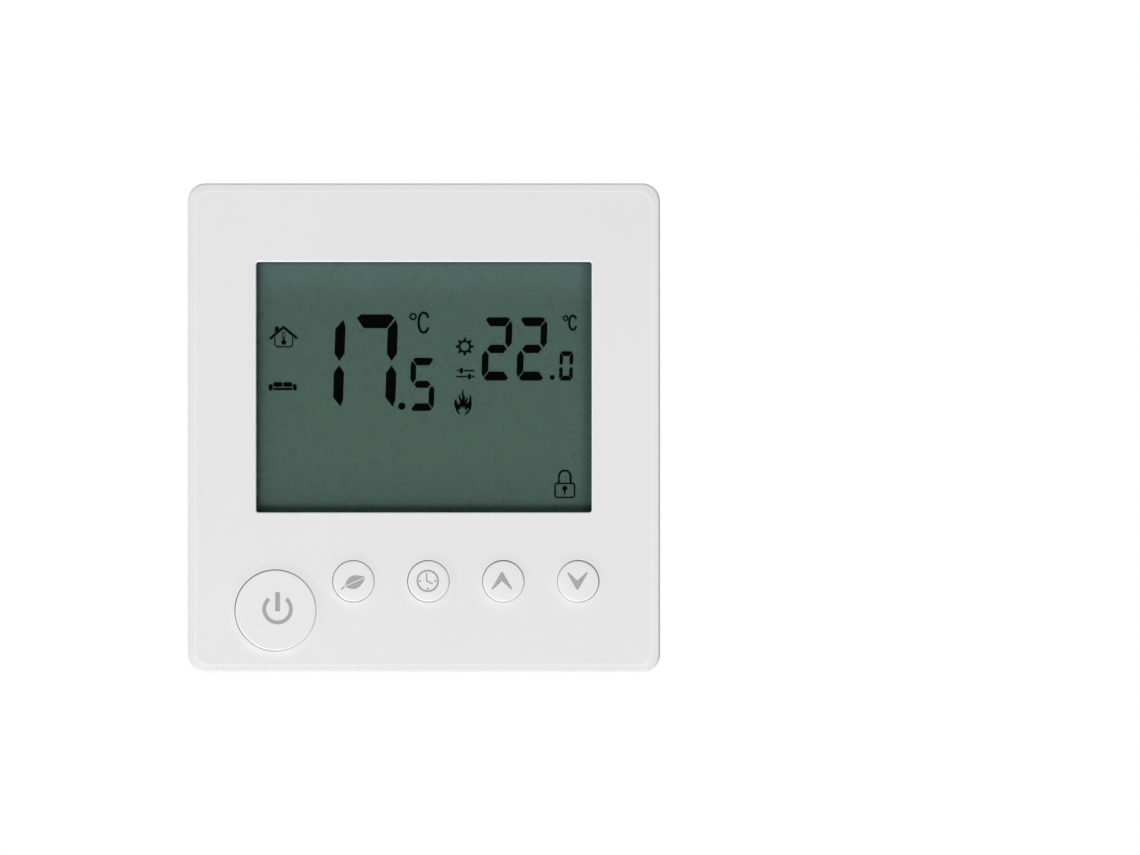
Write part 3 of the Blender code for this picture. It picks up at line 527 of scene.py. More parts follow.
looks = {
    "cover_white": surface("cover_abs", (0.80, 0.80, 0.80), 0.20, mottle=0.006, mottle_scale=35.0,
                           vary=0.03, grain_scale=1800.0, grain_depth=0.0012 * MM),
    # The outer edge's darker white, darker still on its right, is painted shade.
    "cover_edge": edge_material(),
    # The crease bead's lighter white is a painted highlight; the bead itself is real.
    "cover_line": surface("crease_painted_highlight", (0.84, 0.84, 0.84), 0.16, mottle=0.004, vary=0.02,
                          grain_depth=0.0008 * MM),
    # The pale blue tint of the window's rounded edge is a painted glow of the lens's lit edge; its
    # gloss is real.
    "window_edge": surface("glossy_window_edge_painted_glow", (0.80, 0.86, 0.88), 0.10, mottle=0.01, vary=0.02,
                           grain_depth=0.0008 * MM),
    "button_white": surface("button_abs", (0.81, 0.81, 0.81), 0.24, mottle=0.006, vary=0.03,
                            grain_scale=2200.0, grain_depth=0.0012 * MM),
    "icon_ink": surface("icon_ink", (0.37, 0.37, 0.37), 0.45, mottle=0.05, mottle_scale=1400.0,
                        grain_depth=0.002 * MM),
    "segment_ink": surface("liquid_crystal_dark", (0.0006, 0.0007, 0.0007), 0.6, mottle=0.3,
                           mottle_scale=400.0, grain_depth=0.001 * MM, Specular_IOR_Level=0.0),
    "window_clear": pane_material(),
    "lcd_glass": lcd_material(),
    "black_plastic": surface("black_nylon", (0.020, 0.020, 0.021), 0.42, mottle=0.15,
                             grain_depth=0.008 * MM),
    "light_guide": surface("opal_acrylic", (0.80, 0.83, 0.82), 0.30, mottle=0.03,
                           grain_depth=0.002 * MM, Subsurface_Weight=0.2),
    "led_strip": surface("led_strip_resist", (0.85, 0.82, 0.60), 0.35, mottle=0.08,
                         mottle_scale=300.0),
    "zebra_rubber": striped("zebra_layers", (0.03, 0.03, 0.03), (0.30, 0.31, 0.33), 900.0, 0.6),
    "board_green": board_material(),
    "zinc_steel": surface("bright_zinc", (0.62, 0.64, 0.66), 0.30, 1.0, mottle=0.08,
                          mottle_scale=500.0, vary=0.08, grain_scale=4000.0),
    "frame_steel": pressed_steel_material(),
    "yellow_zinc": yellow_zinc_material(),
    "brass": surface("machined_brass", (0.72, 0.52, 0.22), 0.28, 1.0, mottle=0.08,
                     mottle_scale=600.0, vary=0.08, grain_scale=4000.0),
    "sensor_epoxy": surface("epoxy_bead", (0.016, 0.016, 0.018), 0.12, mottle=0.2, vary=0.03,
                            Coat_Weight=0.6),
    "housing_white": surface("housing_abs", (0.74, 0.74, 0.72), 0.48, mottle=0.015,
                             mottle_scale=45.0, vary=0.05, grain_scale=1300.0,
                             grain_depth=0.012 * MM),
    "relay_blue": surface("relay_case", (0.02, 0.10, 0.35), 0.28, mottle=0.08, vary=0.04),
    "winding_tape": striped("polyester_tape", (0.62, 0.43, 0.05), (0.80, 0.60, 0.12), 220.0, 0.35,
                            "Y"),
    "capacitor_sleeve": surface("shrink_sleeve", (0.03, 0.04, 0.08), 0.33, mottle=0.2,
                                mottle_scale=200.0, Coat_Weight=0.3),
    "fuse_brown": surface("fuse_case", (0.20, 0.08, 0.03), 0.36, mottle=0.10),
    "varistor_blue": surface("dipped_epoxy", (0.02, 0.14, 0.45), 0.25, mottle=0.08,
                             grain_scale=700.0, grain_depth=0.03 * MM, Coat_Weight=0.4),
    "terminal_grey": surface("polyamide", (0.17, 0.18, 0.19), 0.46, mottle=0.06,
                             grain_depth=0.010 * MM),
}


# Front cover


def cover_outside(skin):
    """Rings from the back edge round to the face. Returns the back ring and the face's."""
    def inset_ring(inset, y):
        # The crease's corners are rounder than rings at an even distance would make them.
        share = min(1.0, inset / CREASE_INSET)
        corner = COVER_CORNER + (CREASE_CORNER - COVER_CORNER) * share
        return rounded(COVER_WIDTH - 2 * inset, COVER_HEIGHT - 2 * inset, corner, steps=16), y

    break_edge = 0.15 * MM
    back_ring, edge_ring = skin.loft([
        inset_ring(break_edge, COVER_BACK),
        inset_ring(0.0, COVER_BACK - break_edge),
        inset_ring(0.0, COVER_FRONT + RIM_DROP + EDGE_ROUND),
    ])
    edge = [edge_ring]
    for down, inset in quarter(EDGE_ROUND, 6)[1:]:
        edge.append(skin.ring(*inset_ring(inset, COVER_FRONT + RIM_DROP + down)))
    # The outer edge's rounding takes the cover_edge material, painted darker as shade.
    skin.join(edge, COVER_LOOKS.index("cover_edge"))
    rim = inset_ring(CREASE_INSET - CREASE_WIDTH / 2, COVER_FRONT + 0.2 * RIM_DROP)
    bead = [skin.ring(*rim)]
    skin.bridge(edge[-1], bead[0])
    for i in range(1, 7):
        inset = CREASE_INSET + CREASE_WIDTH * (i / 6 - 0.5)
        y = COVER_FRONT - CREASE_HEIGHT * math.sin(math.pi * i / 6)
        bead.append(skin.ring(*inset_ring(inset, y)))
    # The bead takes the lighter cover_line white, a painted highlight.
    skin.join(bead, COVER_LOOKS.index("cover_line"))
    return back_ring, bead[-1]


def window_walls(skin):
    """The window's rounded edge, its wall and the ledge for the lens. Returns both end rings."""
    def opening(margin, corner, y):
        return rounded(WINDOW_WIDTH + 2 * margin, WINDOW_HEIGHT + 2 * margin, corner,
                       WINDOW_CENTRE, steps=6), y

    edge = []
    for margin, down in quarter(WINDOW_EDGE, 5):
        edge.append(opening(margin, WINDOW_CORNER + margin, COVER_FRONT + down))
    # The rounded edge takes the window_edge material, whose blue tint is a painted glow.
    face_ring, wall_ring = skin.loft(edge, COVER_LOOKS.index("window_edge"))
    ledge = LENS_LOW.y - 0.5 * GAP
    seat = LENS_LEDGE + GAP
    rings = [skin.ring(*opening(0.0, WINDOW_CORNER, ledge)),
             skin.ring(*opening(seat, WINDOW_CORNER, ledge)),
             skin.ring(*opening(seat, WINDOW_CORNER, PANEL_BACK))]
    skin.join([wall_ring] + rings)
    return face_ring, rings[-1]


def mound(skin, centre, radius):
    """The face's gentle rise to a button hole, and the hole. Returns both end rings."""
    hole = radius + SLIDE_GAP
    edge = 0.12 * MM
    top = COVER_FRONT - MOUND_HEIGHT
    rise = MOUND_WIDTH - SLIDE_GAP - edge
    profile = []
    for i in range(13):
        out = 1 - i / 12
        profile.append((hole + edge + rise * out, COVER_FRONT - MOUND_HEIGHT * (1 - out) ** 2))
    for out, down in quarter(edge, 4)[1:]:
        profile.append((hole + out, top + down))
    profile.append((hole, PANEL_BACK))
    return skin.loft(turned(profile, centre))


def boss(skin, centre):
    """A screw boss behind the panel, with its pilot hole. Returns its foot ring."""
    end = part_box("control_board")[0].y - GAP
    foot = 0.5 * MM
    profile = []
    for out, down in quarter(foot, 5):
        profile.append((BOSS_RADIUS + out, PANEL_BACK + down))
    profile += [(BOSS_RADIUS, end - 0.15 * MM), (BOSS_RADIUS - 0.15 * MM, end),
                (PILOT_RADIUS + 0.2 * MM, end), (PILOT_RADIUS, end - 0.2 * MM),
                (PILOT_RADIUS, PANEL_BACK)]
    first, last = skin.loft(turned(profile, centre, 48))
    skin.cap(last)
    return first


def make_cover():
    skin = Skin()
    back_ring, face_ring = cover_outside(skin)
    window_face, window_back = window_walls(skin)
    faces, backs = [face_ring, window_face], [window_back]
    for name in BUTTONS:
        outer, inner = mound(skin, *button_place(name))
        faces.append(outer)
        backs.append(inner)
    skin.fill(*faces)
    for x in (BOSS_X, -BOSS_X):
        for z in (BOSS_Z, -BOSS_Z):
            backs.append(boss(skin, (x, z)))
    inside = rounded(COVER_WIDTH - 2 * COVER_WALL, COVER_HEIGHT - 2 * COVER_WALL,
                     COVER_CORNER - COVER_WALL, steps=16)
    deep_ring, mouth_ring = skin.loft([(inside, PANEL_BACK), (inside, COVER_BACK)])
    skin.bridge(back_ring, mouth_ring)
    skin.fill(deep_ring, *backs)
    colours = [looks[look] for look in COVER_LOOKS]
    cover = finished("front_cover_shell", skin, "front_unit", colours)
    carve(cover, cover_slots(), "DIFFERENCE")
    carve(cover, snap_ridges(), "UNION")
    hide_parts("front_cover")


def upright(skin, z_low, z_high, outline):
    """A prism that runs up from z_low to z_high, from an outline of (x, y) points."""
    skin.prism(*([(x, y, z) for x, y in outline] for z in (z_low, z_high)))


def cover_slots():
    """The vents through the top and bottom walls and the release notch in the bottom one."""
    skin = Skin()
    reach = COVER_WALL + 1.0 * MM
    middle = sum(VENT_Y) / 2
    for i in range(-3, 4):
        slot = rounded(VENT_WIDTH, VENT_Y[1] - VENT_Y[0], VENT_WIDTH / 2 - 0.02 * MM,
                       (i * VENT_PITCH, middle), 8)
        for side in (1, -1):
            edge = side * COVER_HEIGHT / 2
            upright(skin, edge - reach, edge + reach, slot)
    notch = rounded(NOTCH_WIDTH, 2 * NOTCH_DEPTH, 0.6 * MM, (0.0, COVER_BACK), 6)
    upright(skin, -COVER_HEIGHT / 2 - reach, -COVER_HEIGHT / 2 + reach, notch)
    return skin


def snap_ridges():
    """Wedge-shaped ridges inside the top and bottom walls, which hold the catch tabs."""
    skin = Skin()
    inner = COVER_HEIGHT / 2 - COVER_WALL
    half = 1.7 * MM
    profile = [(-4.0, -0.6), (-4.0, 0.0), (-3.5, 0.9), (-3.1, 0.9), (-2.6, 0.25), (-2.6, -0.6)]
    for x in (CATCH_X, -CATCH_X):
        for side in (1, -1):
            skin.prism(*([(at, y * MM, side * (inner - reach * MM)) for y, reach in profile]
                         for at in (x - half, x + half)))
    return skin


def carve(made, skin, operation):
    """Joins the solids of a skin to an object's mesh, or cuts them out of it."""
    tool_mesh = mesh_of(skin, "tool")
    tool = bpy.data.objects.new("tool", tool_mesh)
    bpy.context.scene.collection.objects.link(tool)
    kept = [(m.name, m.type) for m in made.modifiers]
    made.modifiers.clear()
    boolean = made.modifiers.new("carve", "BOOLEAN")
    boolean.operation = operation
    boolean.object = tool
    boolean.solver = "EXACT"
    graph = bpy.context.evaluated_depsgraph_get()
    carved = bpy.data.meshes.new_from_object(made.evaluated_get(graph))
    made.modifiers.clear()
    old, made.data = made.data, carved
    carved.set_sharp_from_angle(angle=SHARP)
    for name, kind in kept:
        made.modifiers.new(name, kind).keep_sharp = True
    bpy.data.objects.remove(tool)
    bpy.data.meshes.remove(tool_mesh)
    bpy.data.meshes.remove(old)


# Buttons


def make_cap(name):
    """A button cap: flat face, round edge, flange behind the panel and stem to the switch."""
    centre, radius = button_place(name)
    centre = moved([CAP_PLAY[name]], centre, MM)[0]
    low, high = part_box(f"{name}_button")
    front = low.y + CAP_SINK
    flange_front = PANEL_BACK + GAP
    flange_back = high.y - GAP
    hollow = low.y + 1.3 * MM  # the back of the cap's face
    skin = Skin()
    profile = [(0.4 * radius, front)]
    for inset, down in quarter(CAP_EDGE, 6):
        profile.append((radius - inset, front + down))
    profile += [
        (radius, flange_front),
        (radius + CAP_FLANGE, flange_front),
        (radius + CAP_FLANGE, flange_back),
        (radius - 1.0 * MM, flange_back),
        (radius - 1.1 * MM, hollow),
        (2.2 * MM, hollow),
        (2.0 * MM, high.y),
    ]
    skin.solid(turned(profile, centre))
    cap = finished(f"{name}_cap", skin, f"{name}_key", [looks["button_white"]])
    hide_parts(f"{name}_button")


def inked(name, body, front, draw, look="icon_ink"):
    """A thin print that reaches INK to either side of y = front. draw(pen) fills it."""
    pen = Pen(front - INK, front + INK)
    draw(pen)
    finished(name, pen, body, [looks[look]], weighted=False)


def draw_power(pen):
    x, z = -26.6, -33.0
    pen.line(arc((x, z), 2.43, 130, 410, 48), 0.68)
    pen.line([(x, -29.9), (x, -33.4)], 0.87)


def draw_clock(pen):
    centre = (0.72, -27.87)
    pen.line(circle(centre, 1.88), 0.34, closed=True)
    pen.line(moved([(-0.2, 1.42), (-0.2, 0.0), (0.86, -0.5)], centre), 0.25)
    for angle in (0, 180, 270):
        pen.dot(arc(centre, 1.4, angle, angle, 1)[0], 0.2, 20)


def chevron(centre, up):
    """A tapered arrowhead with round tail ends."""
    half = [(0.14, 1.56), (1.84, -1.42), (1.78, -1.60), (1.62, -1.60), (0.02, -0.08)]
    shape = half + [(-x, z) for x, z in reversed(half)]
    return moved([(x, z * up) for x, z in shape], centre)


def draw_up(pen):
    pen.patch(chevron((14.22, -27.81), 1))


def draw_down(pen):
    pen.patch(chevron((27.95, -27.90), -1))


def draw_leaf(pen):
    """A leaf on a stem, for the economy button."""
    centre, tilt = (-12.55, -28.05), 24
    rib_half = 0.09
    for side in (1, -1):
        edge = []
        for i in range(15):
            half = rib_half + 1.12 * math.sin(math.pi * (i / 14) ** 0.85)
            edge.append((-1.9 + 4.0 * i / 14, side * half))
        pen.patch(moved(edge, centre, turn=tilt))
    pen.line(moved([(-2.0, 0.0), (-2.45, -0.1), (-2.8, -0.35)], centre, turn=tilt), 0.26)


def make_buttons():
    drawings = {"power": draw_power, "economy": draw_leaf, "clock": draw_clock, "up": draw_up,
                "down": draw_down}
    for name, draw in drawings.items():
        make_cap(name)
        inked(f"{name}_icon", f"{name}_key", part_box(f"{name}_button")[0].y + CAP_SINK, draw)


# Display


def segments(height, weight=1.0):
    """The seven bars of a digit of this height, centred, as outlines by name.

    The sizes in it are shares of the height, and weight thickens the bars."""
    side = 0.231
    thick, bar = 0.103 * weight, 0.141 * weight
    gap = 0.010
    tip, shoulder = 0.024, 0.097

    def mirror(points, x, z):
        return [(x * a, z * b) for a, b in points]

    top = [(-side + 0.080, 0.5), (side - 0.080, 0.5), (side - 0.028 - gap, 0.5 - 0.036),
           (side - thick - gap, 0.5 - bar), (-side + thick + gap, 0.5 - bar),
           (-side + 0.028 + gap, 0.5 - 0.036)]
    upper = [(side - 0.024, 0.5 - 0.054), (side, 0.5 - 0.124), (side, shoulder),
             (side - thick / 2, tip), (side - thick, shoulder), (side - thick, 0.5 - bar - gap)]
    middle = [(-side + thick / 2 + 0.022, 0.0), (-side + thick + 0.028, 0.066),
              (side - thick - 0.028, 0.066), (side - thick / 2 - 0.022, 0.0),
              (side - thick - 0.028, -0.066), (-side + thick + 0.028, -0.066)]
    shapes = {"a": top, "b": upper, "c": mirror(upper, 1, -1), "d": mirror(top, 1, -1),
              "e": mirror(upper, -1, -1), "f": mirror(upper, -1, 1), "g": middle}
    return {name: [(height * (x + SLANT * z), height * z) for x, z in points]
            for name, points in shapes.items()}


# The bars that make each digit.
LIT = {"0": "abcdef", "1": "bc", "2": "abdeg", "3": "abcdg", "4": "bcfg", "5": "acdfg",
       "6": "acdefg", "7": "abc"}


def draw_digit(pen, value, centre, height, weight=1.0):
    shapes = segments(height, weight)
    for name in LIT[value]:
        pen.patch(moved(shapes[name], centre))


def draw_celsius(pen, ring, ring_radius, letter, half, width):
    """A degree ring and an open oval C beside it."""
    pen.line(circle(ring, ring_radius, 32), 0.7 * width, closed=True)
    oval = []
    for x, z in arc((0.0, 0.0), 1.0, 28, 332, 40):
        fuller = (abs(x) ** 0.85 * math.copysign(1, x), abs(z) ** 0.95 * math.copysign(1, z))
        oval.append((letter[0] + half[0] * fuller[0], letter[1] + half[1] * fuller[1]))
    pen.line(oval, width)


def draw_room_temperature(pen):
    draw_digit(pen, "1", (-18.74, 11.79), 17.8)
    draw_digit(pen, "7", (-9.18, 11.79), 17.8)
    draw_digit(pen, "5", (-0.36, 7.92), 9.7)
    pen.dot((-4.12, 3.93), 0.66)
    draw_celsius(pen, (-2.06, 20.30), 0.54, (-0.12, 19.20), (0.92, 1.80), 0.42)


def draw_set_temperature(pen):
    draw_digit(pen, "2", (13.26, 14.39), 11.54)
    draw_digit(pen, "2", (19.66, 14.39), 11.54)
    draw_digit(pen, "0", (25.89, 11.29), 5.34, 1.15)
    pen.dot((23.34, 9.19), 0.45)
    draw_celsius(pen, (25.78, 20.00), 0.40, (27.12, 19.18), (0.66, 1.28), 0.38)


def draw_house(pen):
    """A house with a thermometer in it."""
    pen.line([(-28.20, 16.22), (-25.72, 18.36), (-23.22, 16.30)], 0.44)
    pen.line([(-27.30, 16.60), (-27.30, 15.10), (-26.95, 14.78), (-24.40, 14.78), (-24.05, 15.10),
              (-24.05, 16.60)], 0.22)
    pen.patch([(-27.32, 17.34), (-26.55, 17.98), (-26.55, 18.46), (-27.32, 18.46)])
    pen.dot((-25.68, 15.58), 0.44, 28)
    pen.line([(-25.68, 15.98), (-25.68, 16.55)], 0.34)
    dome = arc((-25.68, 17.20), 0.24, 180, 0, 8)
    pen.line([(-25.92, 16.52), (-25.92, 17.20)] + dome + [(-25.44, 16.52)], 0.13)


def draw_sofa(pen):
    """A sofa, for the room reading."""
    for x in (-28.07, -23.67):
        pen.patch(rounded(0.72, 1.16, 0.30, (x, 7.38), 6))
    pen.patch(rounded(3.48, 0.42, 0.10, (-25.87, 7.08), 4))
    for x in (-26.78, -24.96):
        pen.patch(rounded(1.66, 0.84, 0.28, (x, 7.90), 6))


def draw_sliders(pen):
    """Two sliders, for the temperature that is set."""
    for z, knob in ((10.42, 6.75), (9.34, 8.25)):
        pen.patch(rounded(0.62, 0.90, 0.16, (knob, z), 4))
        for x0, x1 in ((5.85, knob - 0.46), (knob + 0.46, 9.15)):
            pen.line([(x0, z), (x1, z)], 0.26)


def draw_sun(pen):
    centre = (7.38, 14.82)
    pen.line(circle(centre, 0.97, 40), 0.36, closed=True)
    for i in range(8):
        pen.line([arc(centre, reach, 45 * i, 45 * i, 1)[0] for reach in (1.05, 1.60)], 0.42)


def draw_flame(pen):
    """A flame with five tongues above and an open foot."""
    outline = [
        (-0.22, 2.66), (0.20, 2.20), (0.14, 1.62), (0.50, 0.94), (0.30, 0.34), (0.62, 0.70),
        (0.70, 1.18), (0.98, 0.70), (0.60, -0.14), (1.17, 0.28), (1.26, 1.42), (1.52, 1.36),
        (1.66, -0.24), (1.50, -1.10), (0.88, -1.88), (0.22, -2.46), (0.56, -1.72), (1.17, -1.06),
        (0.94, -0.92), (0.54, -1.38), (0.27, -0.56), (0.05, -0.96), (-0.34, -0.52),
        (-0.40, -1.20), (-0.80, -1.00), (-0.76, -1.36), (-0.34, -2.32), (-1.04, -1.62),
        (-1.50, -0.50), (-1.56, 0.10), (-1.34, 0.80), (-0.98, 0.18), (-0.86, -0.34),
        (-0.46, 0.14), (-0.78, 1.12), (-0.60, 1.64), (-0.44, 1.16), (-0.22, 0.58),
        (-0.04, 1.12), (-0.22, 1.70), (-0.02, 2.18),
    ]
    pen.patch(moved(outline, (7.0, 4.5)))


def draw_padlock(pen):
    pen.line(rounded(3.56, 2.54, 0.35, (25.64, -11.44), 6), 0.26, closed=True)
    shackle = arc((25.64, -8.88), 1.07, 180, 0, 20)
    pen.line([(24.57, -10.10), (24.57, -8.88)] + shackle + [(26.71, -10.10)], 0.34)
    pen.dot((25.64, -11.06), 0.46, 28)
    pen.line([(25.64, -11.3), (25.64, -12.2)], 0.25)


def draw_symbols(pen):
    for draw in (draw_house, draw_sofa, draw_sliders, draw_sun, draw_flame, draw_padlock):
        draw(pen)


def make_display():
    for name, draw in (("room_temperature_digits", draw_room_temperature),
                       ("set_temperature_digits", draw_set_temperature),
                       ("display_symbols", draw_symbols)):
        inked(name, "front_unit", LCD_FRONT - INK, draw, "segment_ink")


# Screws

SCREW_SIDES = 32
THREAD_RINGS = 8  # to a turn of the thread
THREAD_DEPTH = 0.16  # as a share of the radius


def plus(reach, half, centre):
    """The outline of a cross recess."""
    arm = [(reach, -half), (reach, half), (half * 1.3, half * 1.3)]
    points = []
    for turn in (0, 90, 180, 270):
        points += moved(arm, centre, turn=turn)
    return points


def slit(reach, half, centre):
    return rounded(2 * reach, 2 * half, 0.4 * half, centre, 3)


def make_screw(name, way, seat, radius, head, pitch, tip, recess, look="zinc_steel",
               body="wall_unit"):
    """A threaded screw along Y in place of the CAD node of this name.

    way is the way along Y that the shank points, seat the height of the head, head its profile as
    shares of the head's radius and height, tip (radius, length), and recess (outline, reach, half
    width, depth)."""
    low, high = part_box(name)
    centre = ((low.x + high.x) / 2, (low.z + high.z) / 2)
    head_radius = (high.x - low.x) / 2
    top = low.y if way > 0 else high.y
    end = high.y if way > 0 else low.y
    under = top + way * seat
    outline, reach, half, depth = recess
    skin = Skin()
    rings = []
    for out, down in head:
        outer = circle(centre, head_radius * out, SCREW_SIDES)
        rings.append(skin.ring(outer, top + way * seat * down))
    skin.join(rings)
    mouth = skin.ring(outline(reach, half, centre), top)
    bed = skin.ring(outline(0.55 * reach, 0.7 * half, centre), top + way * depth)
    skin.bridge(mouth, bed)
    skin.cap(bed)
    skin.fill(rings[0], mouth)
    tip_radius, tip_length = tip
    thread_end = end - way * tip_length
    turns = abs(thread_end - under) / pitch
    count = int(turns * THREAD_RINGS)
    last = rings[-1]
    for i in range(count + 1):
        y = under + (thread_end - under) * i / count
        points = []
        for j in range(SCREW_SIDES):
            phase = (turns * i / count - way * j / SCREW_SIDES) % 1.0
            ridge = 1 - abs(2 * phase - 1)
            fade = min(1.0, 0.25 * i, 0.25 * (count - i))
            r = radius * (1 - THREAD_DEPTH * fade * (1 - min(1.0, 1.25 * ridge)))
            a = 2 * math.pi * j / SCREW_SIDES
            points.append((centre[0] + r * math.cos(a), centre[1] + r * math.sin(a)))
        ring = skin.ring(points, y)
        skin.bridge(last, ring)
        last = ring
    for r, share in ((tip_radius, 0.25), (tip_radius, 0.9), (0.8 * tip_radius, 1.0)):
        ring = skin.ring(circle(centre, r, SCREW_SIDES), thread_end + (end - thread_end) * share)
        skin.bridge(last, ring)
        last = ring
    skin.cap(last)
    made = finished(f"{name}_threaded", skin, body, [looks[look]], weighted=False)
    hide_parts(name)


PAN_HEAD = ((0.66, 0.0), (0.80, 0.08), (0.91, 0.24), (0.98, 0.48), (1.0, 0.66), (1.0, 0.94),
            (0.96, 1.0))
CHEESE_HEAD = ((0.93, 0.0), (1.0, 0.08), (1.0, 0.95), (0.96, 1.0))


def make_screws():
    for side in ("left", "right"):
        make_screw(f"wall_screw_{side}", 1, 2.2 * MM, 1.95 * MM, PAN_HEAD, 0.7 * MM,
                   (1.4 * MM, 2.8 * MM), (plus, 2.1 * MM, 0.42 * MM, 1.2 * MM), "yellow_zinc")
    for side in ("top", "bottom"):
        make_screw(f"housing_screw_{side}", 1, 1.045 * MM, 0.85 * MM, PAN_HEAD, 0.6 * MM,
                   (0.5 * MM, 1.0 * MM), (plus, 1.1 * MM, 0.22 * MM, 0.6 * MM))
    for i in range(1, 5):
        make_screw(f"board_screw_{i}", -1, 1.155 * MM, 0.95 * MM, PAN_HEAD, 0.6 * MM,
                   (0.5 * MM, 1.2 * MM), (plus, 1.2 * MM, 0.24 * MM, 0.6 * MM),
                   body="front_unit")
    for i in range(1, 7):
        make_screw(f"terminal_screw_{i}", -1, 1.7 * MM, 1.25 * MM, CHEESE_HEAD, 0.5 * MM,
                   (1.0 * MM, 0.8 * MM), (slit, 1.45 * MM, 0.28 * MM, 0.8 * MM))


# Round components


def make_round(name, body, look, profile):
    """A turned piece in place of a CAD node, from (radius, depth) shares of the node's box.

    Depth is 0 on the room side of the node and 1 on the wall side."""
    low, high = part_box(name)
    centre = ((low.x + high.x) / 2, (low.z + high.z) / 2)
    radius = (high.x - low.x) / 2
    skin = Skin()
    skin.solid(turned([(radius * r, low.y + (high.y - low.y) * d) for r, d in profile], centre, 64))
    made = finished(f"{name}_turned", skin, body, [looks[look]])
    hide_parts(name)


def make_round_parts():
    make_round("capacitor", "wall_unit", "capacitor_sleeve", (
        (0.93, 0.0), (0.99, 0.01), (1.0, 0.03), (1.0, 0.10), (0.95, 0.125), (0.95, 0.145),
        (1.0, 0.17), (1.0, 0.965), (0.97, 0.99), (0.90, 1.0), (0.84, 1.0), (0.83, 0.985),
        (0.10, 0.985)))
    make_round("fuse", "wall_unit", "fuse_brown", (
        (0.90, 0.0), (0.97, 0.015), (1.0, 0.05), (1.0, 0.93), (0.97, 0.98), (0.90, 1.0),
        (0.72, 1.0), (0.70, 0.98), (0.08, 0.98)))
    make_round("backup_cell", "front_unit", "zinc_steel", (
        (0.80, 0.0), (0.84, 0.06), (0.96, 0.10), (1.0, 0.18), (1.0, 0.62), (0.985, 0.70),
        (0.90, 0.74), (0.86, 0.78), (0.84, 0.96), (0.81, 1.0), (0.20, 1.0)))
    make_round("room_sensor", "front_unit", "sensor_epoxy", (
        (0.10, 0.0), (0.42, 0.03), (0.68, 0.09), (0.88, 0.19), (0.98, 0.32), (1.0, 0.46),
        (0.96, 0.62), (0.82, 0.80), (0.62, 0.94), (0.50, 1.0)))
    for name in BUTTONS:
        make_round(f"{name}_plunger", f"{name}_key", "black_plastic", (
            (0.80, 0.0), (0.93, 0.03), (1.0, 0.10), (1.0, 1.0)))


def make_housing_marks():
    """Raised terminal numbers over the screw holes in the housing's back, and a line round them."""
    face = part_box("rear_housing")[1].y
    pen = Pen(face - 0.05 * MM, face + 0.12 * MM)
    pitch, height = 7.4, 2.6
    shapes = segments(height)
    for i, value in enumerate("123456"):
        for bar in LIT[value]:
            # The numbers are read from behind, where +X is on the left.
            outline = [(-a, b) for a, b in shapes[bar]]
            pen.patch(moved(outline, ((2.5 - i) * pitch, -10.4)))
    pen.line(rounded(44.6, 11.4, 1.2, (0.0, -13.6), 8), 0.5, closed=True)
    finished("housing_numbers", pen, "wall_unit", [looks["housing_white"]],
             weighted=False)


# CAD nodes that keep their shape

NODE_EDGE = 0.12 * MM
NODE_SHARP = math.radians(40)  # edges over this angle are rounded by NODE_EDGE


def keep_node(name, slot):
    """A CAD node with its own material, and with rounded edges."""
    node = frame["nodes"][name]
    node.data.materials.clear()
    node.data.materials.append(looks[slot])
    weld = node.modifiers.new("weld", "WELD")
    weld.merge_threshold = 0.002 * MM
    flat = node.modifiers.new("flat_faces", "DECIMATE")
    flat.decimate_type = "DISSOLVE"
    flat.angle_limit = math.radians(1.0)
    round_edges = node.modifiers.new("round_edges", "BEVEL")
    round_edges.width = NODE_EDGE
    round_edges.segments = 2
    round_edges.limit_method = "ANGLE"
    round_edges.angle_limit = NODE_SHARP
    normals = node.modifiers.new("weighted_normals", "WEIGHTED_NORMAL")
    normals.keep_sharp = True
    node.data.shade_smooth()
    node.data.set_sharp_from_angle(angle=NODE_SHARP)


def keep_nodes():
    slots = {row["node"]: row["material_slot"] for row in frame["record"]["subparts"]}
    for name, slot in slots.items():
        if not frame["nodes"][name].hide_render:
            keep_node(name, slot)


# Stage

VIEW_WIDTH = 207.5 * MM  # at the face of the cover
VIEW_PLACE = (26.6 * MM, 0.05 * MM)  # X and Z of the middle of the view
WORLD_LIGHT = 0.515
WORLD_DARK = 0.02
FLOOR_REACH, FLOOR_LEVEL = 5.6, -1.5
FLOOR_FADE = (2.6, 5.2)  # from here to here it turns white


def make_camera():
    """Square on, with the thermostat in the left part of the view."""
    data = bpy.data.cameras.new("view")
    data.lens = 120
    data.sensor_width = 36
    camera = bpy.data.objects.new("view", data)
    distance = VIEW_WIDTH * data.lens / data.sensor_width
    camera.location = (VIEW_PLACE[0], COVER_FRONT - distance, VIEW_PLACE[1])
    camera.rotation_euler = (math.pi / 2, 0.0, 0.0)
    bpy.context.scene.collection.objects.link(camera)
    bpy.context.scene.camera = camera


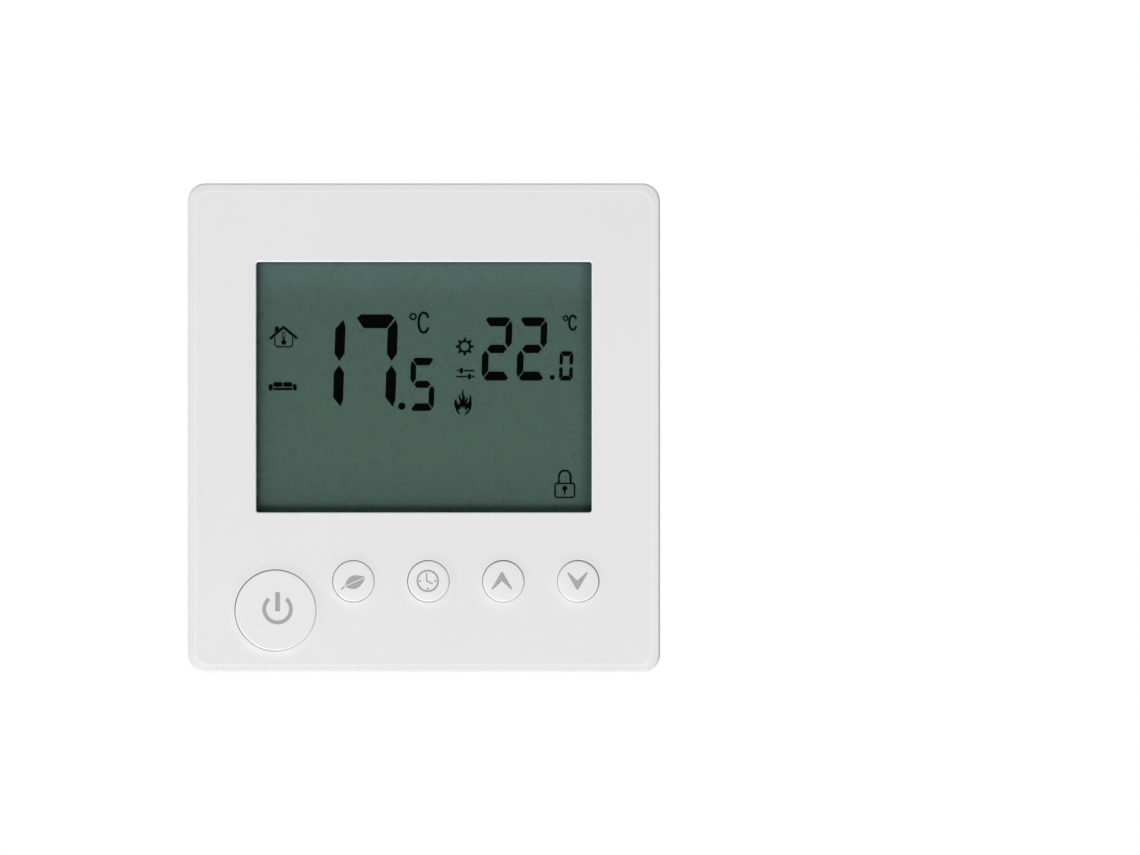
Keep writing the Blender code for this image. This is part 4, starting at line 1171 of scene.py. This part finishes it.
def make_world():
    """White to the camera. As light, soft, brighter from the left, and dark from the camera's side."""
    world = bpy.data.worlds.new("studio")
    bpy.context.scene.world = world
    world.use_nodes = True
    tree = world.node_tree
    tree.nodes.clear()
    direction = socket_of(tree, "ShaderNodeTexCoord", "Generated")
    towards = axes(tree, direction)
    level = spread(tree, towards["Y"], WORLD_DARK, WORLD_LIGHT, -0.95, -0.78)
    level.node.interpolation_type = "SMOOTHSTEP"
    side = spread(tree, towards["X"], 1.42, 0.58, -1.0, 1.0)
    level = combined(tree, "MULTIPLY", level, side)
    light = socket_of(tree, "ShaderNodeBackground", Color=(1.0, 1.0, 1.0, 1.0), Strength=level)
    seen = socket_of(tree, "ShaderNodeBackground", Color=(1.0, 1.0, 1.0, 1.0), Strength=1.0)
    mix = tree.nodes.new("ShaderNodeMixShader")
    camera_ray = socket_of(tree, "ShaderNodeLightPath", "Is Camera Ray")
    tree.links.new(camera_ray, mix.inputs[0])
    tree.links.new(light, mix.inputs[1])
    tree.links.new(seen, mix.inputs[2])
    output = tree.nodes.new("ShaderNodeOutputWorld")
    tree.links.new(mix.outputs[0], output.inputs["Surface"])


def area_light(name, location, size, power):
    data = bpy.data.lights.new(name, "AREA")
    data.shape = "DISK"
    data.size = size
    data.energy = power
    light = bpy.data.objects.new(name, data)
    light.location = location
    light.rotation_euler = (-Vector(location)).to_track_quat("-Z", "Y").to_euler()
    bpy.context.scene.collection.objects.link(light)


def make_floor():
    """A pale floor far below, which turns white with distance, so that it has no horizon."""
    mesh = bpy.data.meshes.new("floor")
    corners = [(x * FLOOR_REACH, y * FLOOR_REACH, FLOOR_LEVEL)
               for x, y in ((-1, -1), (1, -1), (1, 1), (-1, 1))]
    mesh.from_pydata(corners, [], [(0, 1, 2, 3)])
    made, tree, shader = new_material("pale_floor")
    tint = ramp(tree, noise(tree, 2.0), (0.3, (0.86, 0.86, 0.86)), (0.7, (0.88, 0.88, 0.88)))
    tree.links.new(tint, shader.inputs["Base Color"])
    shader.inputs["Roughness"].default_value = 0.9
    away = tree.nodes.new("ShaderNodeVectorMath")
    away.operation = "LENGTH"
    tree.links.new(place(tree), away.inputs[0])
    glow = spread(tree, away.outputs["Value"], 0.26, 1.0, *FLOOR_FADE)
    tree.links.new(glow, shader.inputs["Emission Strength"])
    shader.inputs["Emission Color"].default_value = (1.0, 1.0, 1.0, 1.0)
    mesh.materials.append(made)
    floor = bpy.data.objects.new("floor", mesh)
    bpy.context.scene.collection.objects.link(floor)


def make_stage():
    bpy.context.scene.view_settings.view_transform = "Standard"
    make_camera()
    make_world()
    area_light("key", (-0.45, -1.62, -1.09), 0.80, 21.7)
    area_light("rear", (0.60, 1.50, 0.45), 0.80, 9.0)
    make_floor()


make_stage()
make_cover()
make_buttons()
make_display()
make_screws()
make_round_parts()
make_housing_marks()
keep_nodes()
